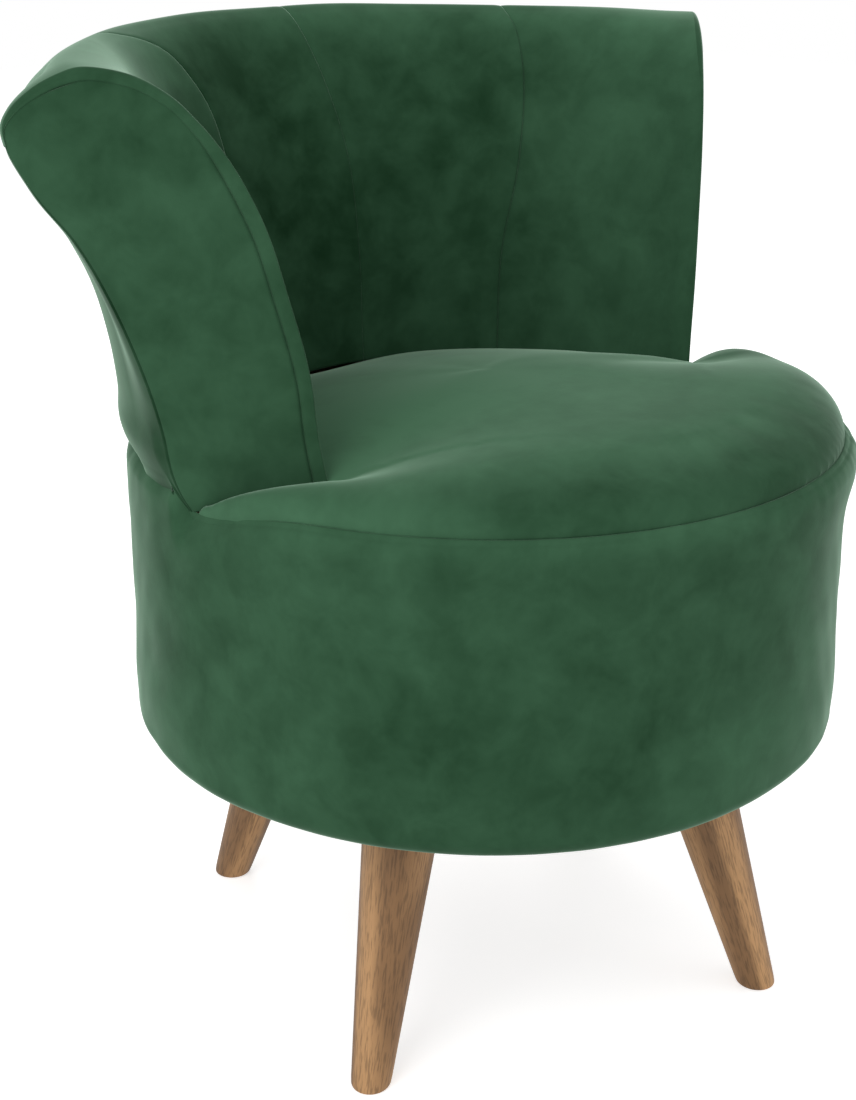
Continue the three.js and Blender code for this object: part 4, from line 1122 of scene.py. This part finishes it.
class TUB_OT_inside_back(bpy.types.Operator):
    """Makes the five sewn panels that line the back, roll over its top and turn round the
    facings' edges."""
    bl_idname = "tub.inside_back"
    bl_label = "Inside back"

    def execute(self, context):
        covers = context.scene.tub_covers
        along = np.linspace(0, COVER_SEAM_STATION, PANEL_ROWS)
        lines = seam_angles(along)
        for index in range(len(PANEL_PAINTED_SHADING)):
            left, right = lines[index], lines[index + 1]
            side = {0: -1, 4: 1}.get(index)
            if side:
                border, trim = border_columns(along, side, covers)
                left, right = (left + trim, right) if side < 0 else (left, right - trim)
            surface, out, pile = inside_panel(index, along, left[:, None], right[:, None], covers)
            thick = covers.thickness
            if side:
                ends = np.full(border.shape[:2], BORDER_PAINTED_SHADING)
                order = slice(None, None, side)
                surface = np.concatenate([surface, border[:, ::side]][order], axis=1)
                pile = np.concatenate([pile, ends][order], axis=1)
                middle = PANEL_COLUMNS // 2 + (0 if side > 0 else 2 * BORDER_COLUMNS)
                out = normals(surface, (PANEL_ROWS // 4, middle), -1)
                thick = SKIN_THICKNESS * smooth_step((COVER_SEAM_STATION - along) / 0.03)
                thick = thick[:, None, None]
            nodes = [f"inside_back_panel_{index + 1}"]
            if index == 2:
                nodes += ["back_padding", "top_roll_padding"]
            points, faces = closed_sheet(surface, surface - out * thick)
            velvet_piece(f"inside_velvet_{index + 1}", points, faces, nodes,
                         np.tile(pile.ravel(), 2))
        return {"FINISHED"}


OUTSIDE_ROWS, OUTSIDE_COLUMNS = 120, 400
OUTSIDE_MIDDLE = (60, 210)  # a grid point near the middle of the outside cover
OUTSIDE_SHARE = 0.6         # its thickness as a share of the inside covers'
# Share of its lowest radius by which it goes on in behind the drum's rim, and depth there.
OUTSIDE_TUCKS = ((0.006, 0.004), (0.012, 0.010), (0.020, 0.022))


class TUB_OT_outside_back(bpy.types.Operator):
    """Makes the plain cover outside the back, from its seam under the roll to the drum."""
    bl_idname = "tub.outside_back"
    bl_label = "Outside back"

    def execute(self, context):
        along = np.linspace(COVER_SEAM_STATION, 1, OUTSIDE_ROWS)[:, None]
        across = np.linspace(-1, 1, OUTSIDE_COLUMNS)[None, :]
        along, across = np.broadcast_arrays(along, across)
        surface = back_surface(along, across)
        out = normals(surface, OUTSIDE_MIDDLE, 1)
        down = lengths_along(surface[:, OUTSIDE_MIDDLE[1]])[:, None]
        to_foot = down[-1] - down
        inside = smooth_step((1 - np.abs(across)) / 0.04)
        rise = 0.0030 * bell(to_foot - 0.020, 0.014) + 0.0010 * ripple(surface, 0.17, seed=31)
        # It is drawn in at its seam and its foot, where by the arm posts it has no room to be.
        behind = smooth_step((82 * (1 - np.abs(across)) - 12) / 8)
        rise -= 0.0020 * bell(down, 0.003) + (0.0005 + 0.0040 * behind) * bell(to_foot, 0.005)
        surface = surface + out * (rise * inside)[..., None]
        level = (surface[-1] - CENTRE) * [1, 1, 0]
        tucks = [surface[-1] - level * share - [0, 0, deep] for share, deep in OUTSIDE_TUCKS]
        surface = np.concatenate([surface, tucks])
        across = np.concatenate([across, across[-3:]])
        out = np.concatenate([out, out[-1:], out[-1:], out[-1:]])
        inner = surface - out * context.scene.tub_covers.thickness * OUTSIDE_SHARE
        # Darker towards both ends, by the facings.
        pile = 0.45 - 0.30 * smooth_step((np.abs(across) - 0.80) / 0.15)
        velvet_piece("outside_velvet", *closed_sheet(surface, inner),
                     ["outside_back_cover", "outside_wadding"], np.tile(pile.ravel(), 2))
        return {"FINISHED"}


# ---------------------------------------------------------------- the facings

FACING_RUNGS, FACING_COLUMNS = 150, 80
FACING_APEX = 0.86          # the panel's top, as a share of its seam's length
FACING_THICKNESS = 0.0050
FOOT_LAP = 0.004            # how far a panel goes down under the line of its foot
FOOT_REACH = 0.05           # and how far up its rungs still follow the foot
FACING_ROUNDING = 0.014     # distance from its seam over which a panel swells
FACING_CREASE = 0.0016      # depth of the crease along that seam
FACING_SWELL = (0.0007, 0.07, 0.020)    # unevenness, its waves' length, its distance from the seam


class TUB_OT_facings(bpy.types.Operator):
    """Makes the two flat arm ends, each an inset panel with a soft swell."""
    bl_idname = "tub.facings"
    bl_label = "Facings"

    def execute(self, context):
        covers = context.scene.tub_covers
        along = np.linspace(0, COVER_SEAM_STATION, 240)
        outer_along = np.linspace(COVER_SEAM_STATION, 1, 120)
        rung = eased(FACING_RUNGS, 0.6)
        cross = eased(FACING_COLUMNS, 0.85)[None, :, None]
        for side, label in ((-1, "right"), (1, "left")):
            place, out, beside = facing_plane(side)
            seam = border_seam(along, side, covers)
            outer = back_surface(outer_along, np.full_like(outer_along, float(side)))
            loop = np.vstack([seam, outer[1:]])
            # Rungs across the panel, each from the seam on the sitter's side to the outer edge.
            at = stations(loop)
            apex = at[len(seam) - 1] * FACING_APEX
            left = smooth_line(loop, at, rung * apex)[:, None]
            right = smooth_line(loop, at, 1 - rung * (1 - apex))[:, None]
            face = left + (right - left) * cross
            # The lowest rungs come down to the foot, which presses into the seat and the drum.
            level = face[:1, :, 2].copy()
            foot = SEAM_HEIGHT - FOOT_LAP + facing_foot((face[:1] - place) @ beside)
            face[..., 2] += (foot - level) * smooth_step(1 - (face[..., 2] - level) / FOOT_REACH)
            near = np.minimum(cross, 1 - cross)[..., 0] * np.linalg.norm(right - left, axis=-1)
            by_seam = smooth_step((apex - 0.12 - rung * apex) / 0.08)[:, None]
            size, wave, reach = FACING_SWELL
            swell = (covers.facing_bulge * (1 - np.exp(-near / FACING_ROUNDING))
                     - FACING_CREASE * bell(near, 0.0015) * by_seam
                     + size * ripple(face, wave, seed=41 + side) * (1 - np.exp(-near / reach)))
            points, faces = closed_sheet(face + out * swell[..., None],
                                         face - out * FACING_THICKNESS)
            # Painted light and shade on the facing: its level, darker towards its top.
            pile = 0.42 - 0.06 * smooth_step((points[:, 2] - SEAM_HEIGHT - 0.10) / 0.16)
            velvet_piece(f"facing_velvet_{label}", points, faces, [f"facing_panel_{label}"], pile)
        return {"FINISHED"}


# ---------------------------------------------------------------- the legs

LEG_TURN = 24.4             # bearing of the left front leg, a quarter turn from its neighbours
LEG_NAMES = ("right_front", "left_front", "left_back", "right_back")
LEG_SIDES, LEG_ROWS = 72, 60
GRAIN_STEP = np.array([0.11, 0.07, 0.31])   # from one leg's place in the timber to the next's


def merged(points, faces):
    """The faces, with corners at one place all numbered as the first point there."""
    _, first, back = np.unique(np.round(points, 7), axis=0, return_index=True,
                               return_inverse=True)
    return first[back.reshape(-1)][faces]


class TUB_OT_legs(bpy.types.Operator):
    """Turns the four tapered oak legs with rounded feet and a bolt hole in each top."""
    bl_idname = "tub.legs"
    bl_label = "Legs"

    def execute(self, context):
        sizes = context.scene.tub_legs
        edge, foot_radius = sizes.edge, sizes.foot_radius
        bore_floor = LEG_HEIGHT - sizes.bore_depth
        grow = (sizes.top_radius - foot_radius) / DRUM_LOW[2]
        foot = arc((foot_radius - edge, edge), edge, -90, 0, 9)
        rise = edge + (LEG_HEIGHT - edge) * np.linspace(0, 1, LEG_ROWS)[1:]
        side = np.column_stack([foot_radius + grow * rise, rise])
        section = np.vstack([
            [[0, 0], [foot_radius * 0.5, 0]], foot, side,
            [[sizes.top_radius * 0.6, LEG_HEIGHT], [sizes.bore_radius, LEG_HEIGHT],
             [sizes.bore_radius, bore_floor], [0, bore_floor]]])
        radius, height = section[:, :1], section[:, 1:]
        # The leg leans, and its last three rows, the bore, stand upright.
        slope = sizes.splay / DRUM_LOW[2]
        centre = sizes.foot_circle - slope * height
        centre[-3:] = sizes.foot_circle - slope * LEG_HEIGHT
        stretch = np.full_like(radius, np.cos(np.arctan(slope)))
        stretch[-3:] = 1
        turn = np.linspace(0, 2 * np.pi, LEG_SIDES, endpoint=False)
        along, aside = radius * np.cos(turn) / stretch, radius * np.sin(turn)
        local = np.stack([along, aside, np.broadcast_to(height, along.shape)], -1)
        faces = grid_faces(len(section), LEG_SIDES, wrap_columns=True)
        finish = finish_named("oiled oak", oak, context.scene.tub_colours)
        for number, label in enumerate(LEG_NAMES):
            bearing = LEG_TURN + 90 * (number - 1)
            plan = ((centre + along)[..., None] * outwards(bearing)
                    + aside[..., None] * outwards(bearing + 90))
            points = raised(plan, height).reshape(-1, 3)
            grain = (local + number * GRAIN_STEP).reshape(-1, 3)
            build(f"turned_leg_{label}", points, merged(points, faces), [f"leg_{label}"],
                  finish, "grain", grain)
        return {"FINISHED"}


# ---------------------------------------------------------------- hidden parts

# Finish: colour, roughness, metallic, second colour, size of its marks in millimetres, and the
# first words of the nodes that have it.
HIDDEN_FINISHES = {
    "birch plywood": ("#c9a877", 0.65, 0.0, "#b08d5c", 18, (
        "base_board", "base_top_ring", "base_post", "back_rib", "back_top_rail",
        "back_bottom_rail", "arm_post")),
    "pressed hardboard": ("#5f452f", 0.6, 0.0, "#4c3625", 6, ("drum_wall", "back_board")),
    "drawn spring steel": ("#77787a", 0.35, 1.0, None, None, ("seat_spring",)),
    "zinc-plated steel": ("#c3c6c9", 0.32, 1.0, None, None, ("spring_clip", "leg_bolt", "tee_nut")),
    "black lining cloth": ("#17181a", 0.9, 0.0, "#222326", 3, ("dust_cover",)),
}


class TUB_OT_hidden_parts(bpy.types.Operator):
    """Gives the frame, springs and fixings that stay from the CAD their own finishes."""
    bl_idname = "tub.hidden_parts"
    bl_label = "Hidden parts"

    def execute(self, context):
        for name, (*look, starts) in HIDDEN_FINISHES.items():
            finish = plain_finish(name, *look)
            for start in starts:
                found = [thing for thing in bpy.data.objects if thing.name.startswith(start)]
                if not found:
                    raise RuntimeError(f"no node starts with {start}")
                for slot in (slot for thing in found for slot in thing.material_slots):
                    slot.material = finish
        return {"FINISHED"}


# ---------------------------------------------------------------- the studio

FLOOR_REACH = 6.0
FLOOR_GREY = 0.82
FLOOR_GLOW, FLOOR_GLOW_SEEN = 0.22, 0.60    # the white floor's own light, and as the camera sees it
LAMP_AIM = np.array([0, 0, 0.4])
LAMPS = (("key lamp", (-2.2, -0.6, 2.0), 1.6, 1.0),     # name, place, size, share of the power
         ("fill lamp", (1.6, -1.9, 1.5), 2.0, 0.35),
         ("rim lamp", (1.2, 1.8, 2.0), 1.4, 0.7))


def lamp(name, place, size, power):
    """A square soft lamp at a place, turned to face the chair."""
    light = bpy.data.lights.new(name, "AREA")
    light.shape = "SQUARE"
    light.size = size
    light.energy = power
    stand = placed(name, light)
    way = LAMP_AIM - place
    way /= np.linalg.norm(way)
    stand.location = place
    stand.rotation_euler = (np.arccos(-way[2]), 0, np.arctan2(way[0], -way[1]) + np.pi)


class TUB_OT_studio(bpy.types.Operator):
    """Lays the pale floor and sets the soft light and the camera."""
    bl_idname = "tub.studio"
    bl_label = "Studio"

    def execute(self, context):
        scene, studio = context.scene, context.scene.tub_studio
        world = bpy.data.worlds.new("white studio")
        scene.world = world
        world.use_nodes = True
        tree = world.node_tree
        tree.nodes.clear()
        rays = add_node(tree, "ShaderNodeLightPath")
        seen = add_node(tree, "ShaderNodeMath", {"operation": "MAXIMUM"},
                        {0: rays.outputs["Is Camera Ray"], 1: rays.outputs["Is Transmission Ray"]})
        seen = add_node(tree, "ShaderNodeMath", {"operation": "MAXIMUM"},
                        {0: seen.outputs[0], 1: rays.outputs["Is Glossy Ray"]})
        strength = add_node(tree, "ShaderNodeMapRange", {"To Min": studio.sky, "To Max": 1.0},
                            {"Value": seen.outputs[0]})
        light = add_node(tree, "ShaderNodeBackground", {"Color": (1, 1, 1, 1)},
                         {"Strength": strength.outputs[0]})
        add_node(tree, "ShaderNodeOutputWorld", {}, {"Surface": light.outputs[0]})

        finish, tree, output = new_finish("matt white floor")
        rays = add_node(tree, "ShaderNodeLightPath")
        matt = add_node(tree, "ShaderNodeBsdfDiffuse", {"Color": (*[FLOOR_GREY] * 3, 1)})
        level = add_node(tree, "ShaderNodeMapRange",
                         {"To Min": FLOOR_GLOW, "To Max": FLOOR_GLOW_SEEN},
                         {"Value": rays.outputs["Is Camera Ray"]})
        glow = add_node(tree, "ShaderNodeEmission", {"Color": (1, 1, 1, 1)},
                        {"Strength": level.outputs[0]})
        both = add_node(tree, "ShaderNodeAddShader", {}, {0: matt.outputs[0], 1: glow.outputs[0]})
        tree.links.new(both.outputs[0], output.inputs["Surface"])
        corners = FLOOR_REACH * np.array([[-1, -1, 0], [1, -1, 0], [1, 1, 0], [-1, 1, 0]])
        mesh = bpy.data.meshes.new("floor")
        mesh.from_pydata(corners.tolist(), [], [[0, 1, 2, 3]])
        mesh.materials.append(finish)
        placed("floor", mesh)

        for name, place, size, share in LAMPS:
            lamp(name, place, size, studio.key * share)

        view = bpy.data.cameras.new("camera")
        view.lens = studio.lens
        view.sensor_width = 36.0
        eye = placed("camera", view)
        eye.location = studio.place
        eye.rotation_euler = (np.pi / 2 - studio.tilt, 0, -studio.heading)
        scene.camera = eye
        scene.view_settings.view_transform = "Standard"
        return {"FINISHED"}


# ---------------------------------------------------------------- the add-on

GROUPS = (("tub_covers", TUB_PG_covers), ("tub_drum", TUB_PG_drum), ("tub_seat", TUB_PG_seat),
          ("tub_legs", TUB_PG_legs), ("tub_colours", TUB_PG_colours),
          ("tub_studio", TUB_PG_studio))
OPERATORS = (TUB_OT_drum, TUB_OT_seat, TUB_OT_inside_back, TUB_OT_outside_back, TUB_OT_facings,
             TUB_OT_legs, TUB_OT_hidden_parts, TUB_OT_studio)


class TUB_PT_dressing(bpy.types.Panel):
    """Lists the steps and the sizes that can be changed."""
    bl_label = "Tub chair"
    bl_space_type = "VIEW_3D"
    bl_region_type = "UI"
    bl_category = "Tub Chair"

    def draw(self, context):
        for operator in OPERATORS:
            self.layout.operator(operator.bl_idname)
        for name, group in GROUPS:
            column = self.layout.column(align=True)
            for size in group.__annotations__:
                column.prop(getattr(context.scene, name), size)


def register():
    for name, group in GROUPS:
        bpy.utils.register_class(group)
        setattr(bpy.types.Scene, name, bpy.props.PointerProperty(type=group))
    for operator in OPERATORS:
        bpy.utils.register_class(operator)
    bpy.utils.register_class(TUB_PT_dressing)


def unregister():
    bpy.utils.unregister_class(TUB_PT_dressing)
    for operator in reversed(OPERATORS):
        bpy.utils.unregister_class(operator)
    for name, group in reversed(GROUPS):
        delattr(bpy.types.Scene, name)
        bpy.utils.unregister_class(group)


def main():
    register()
    bpy.ops.tub.drum()
    bpy.ops.tub.seat()
    bpy.ops.tub.inside_back()
    bpy.ops.tub.outside_back()
    bpy.ops.tub.facings()
    bpy.ops.tub.legs()
    bpy.ops.tub.hidden_parts()
    bpy.ops.tub.studio()


if __name__ == "__main__":
    main()
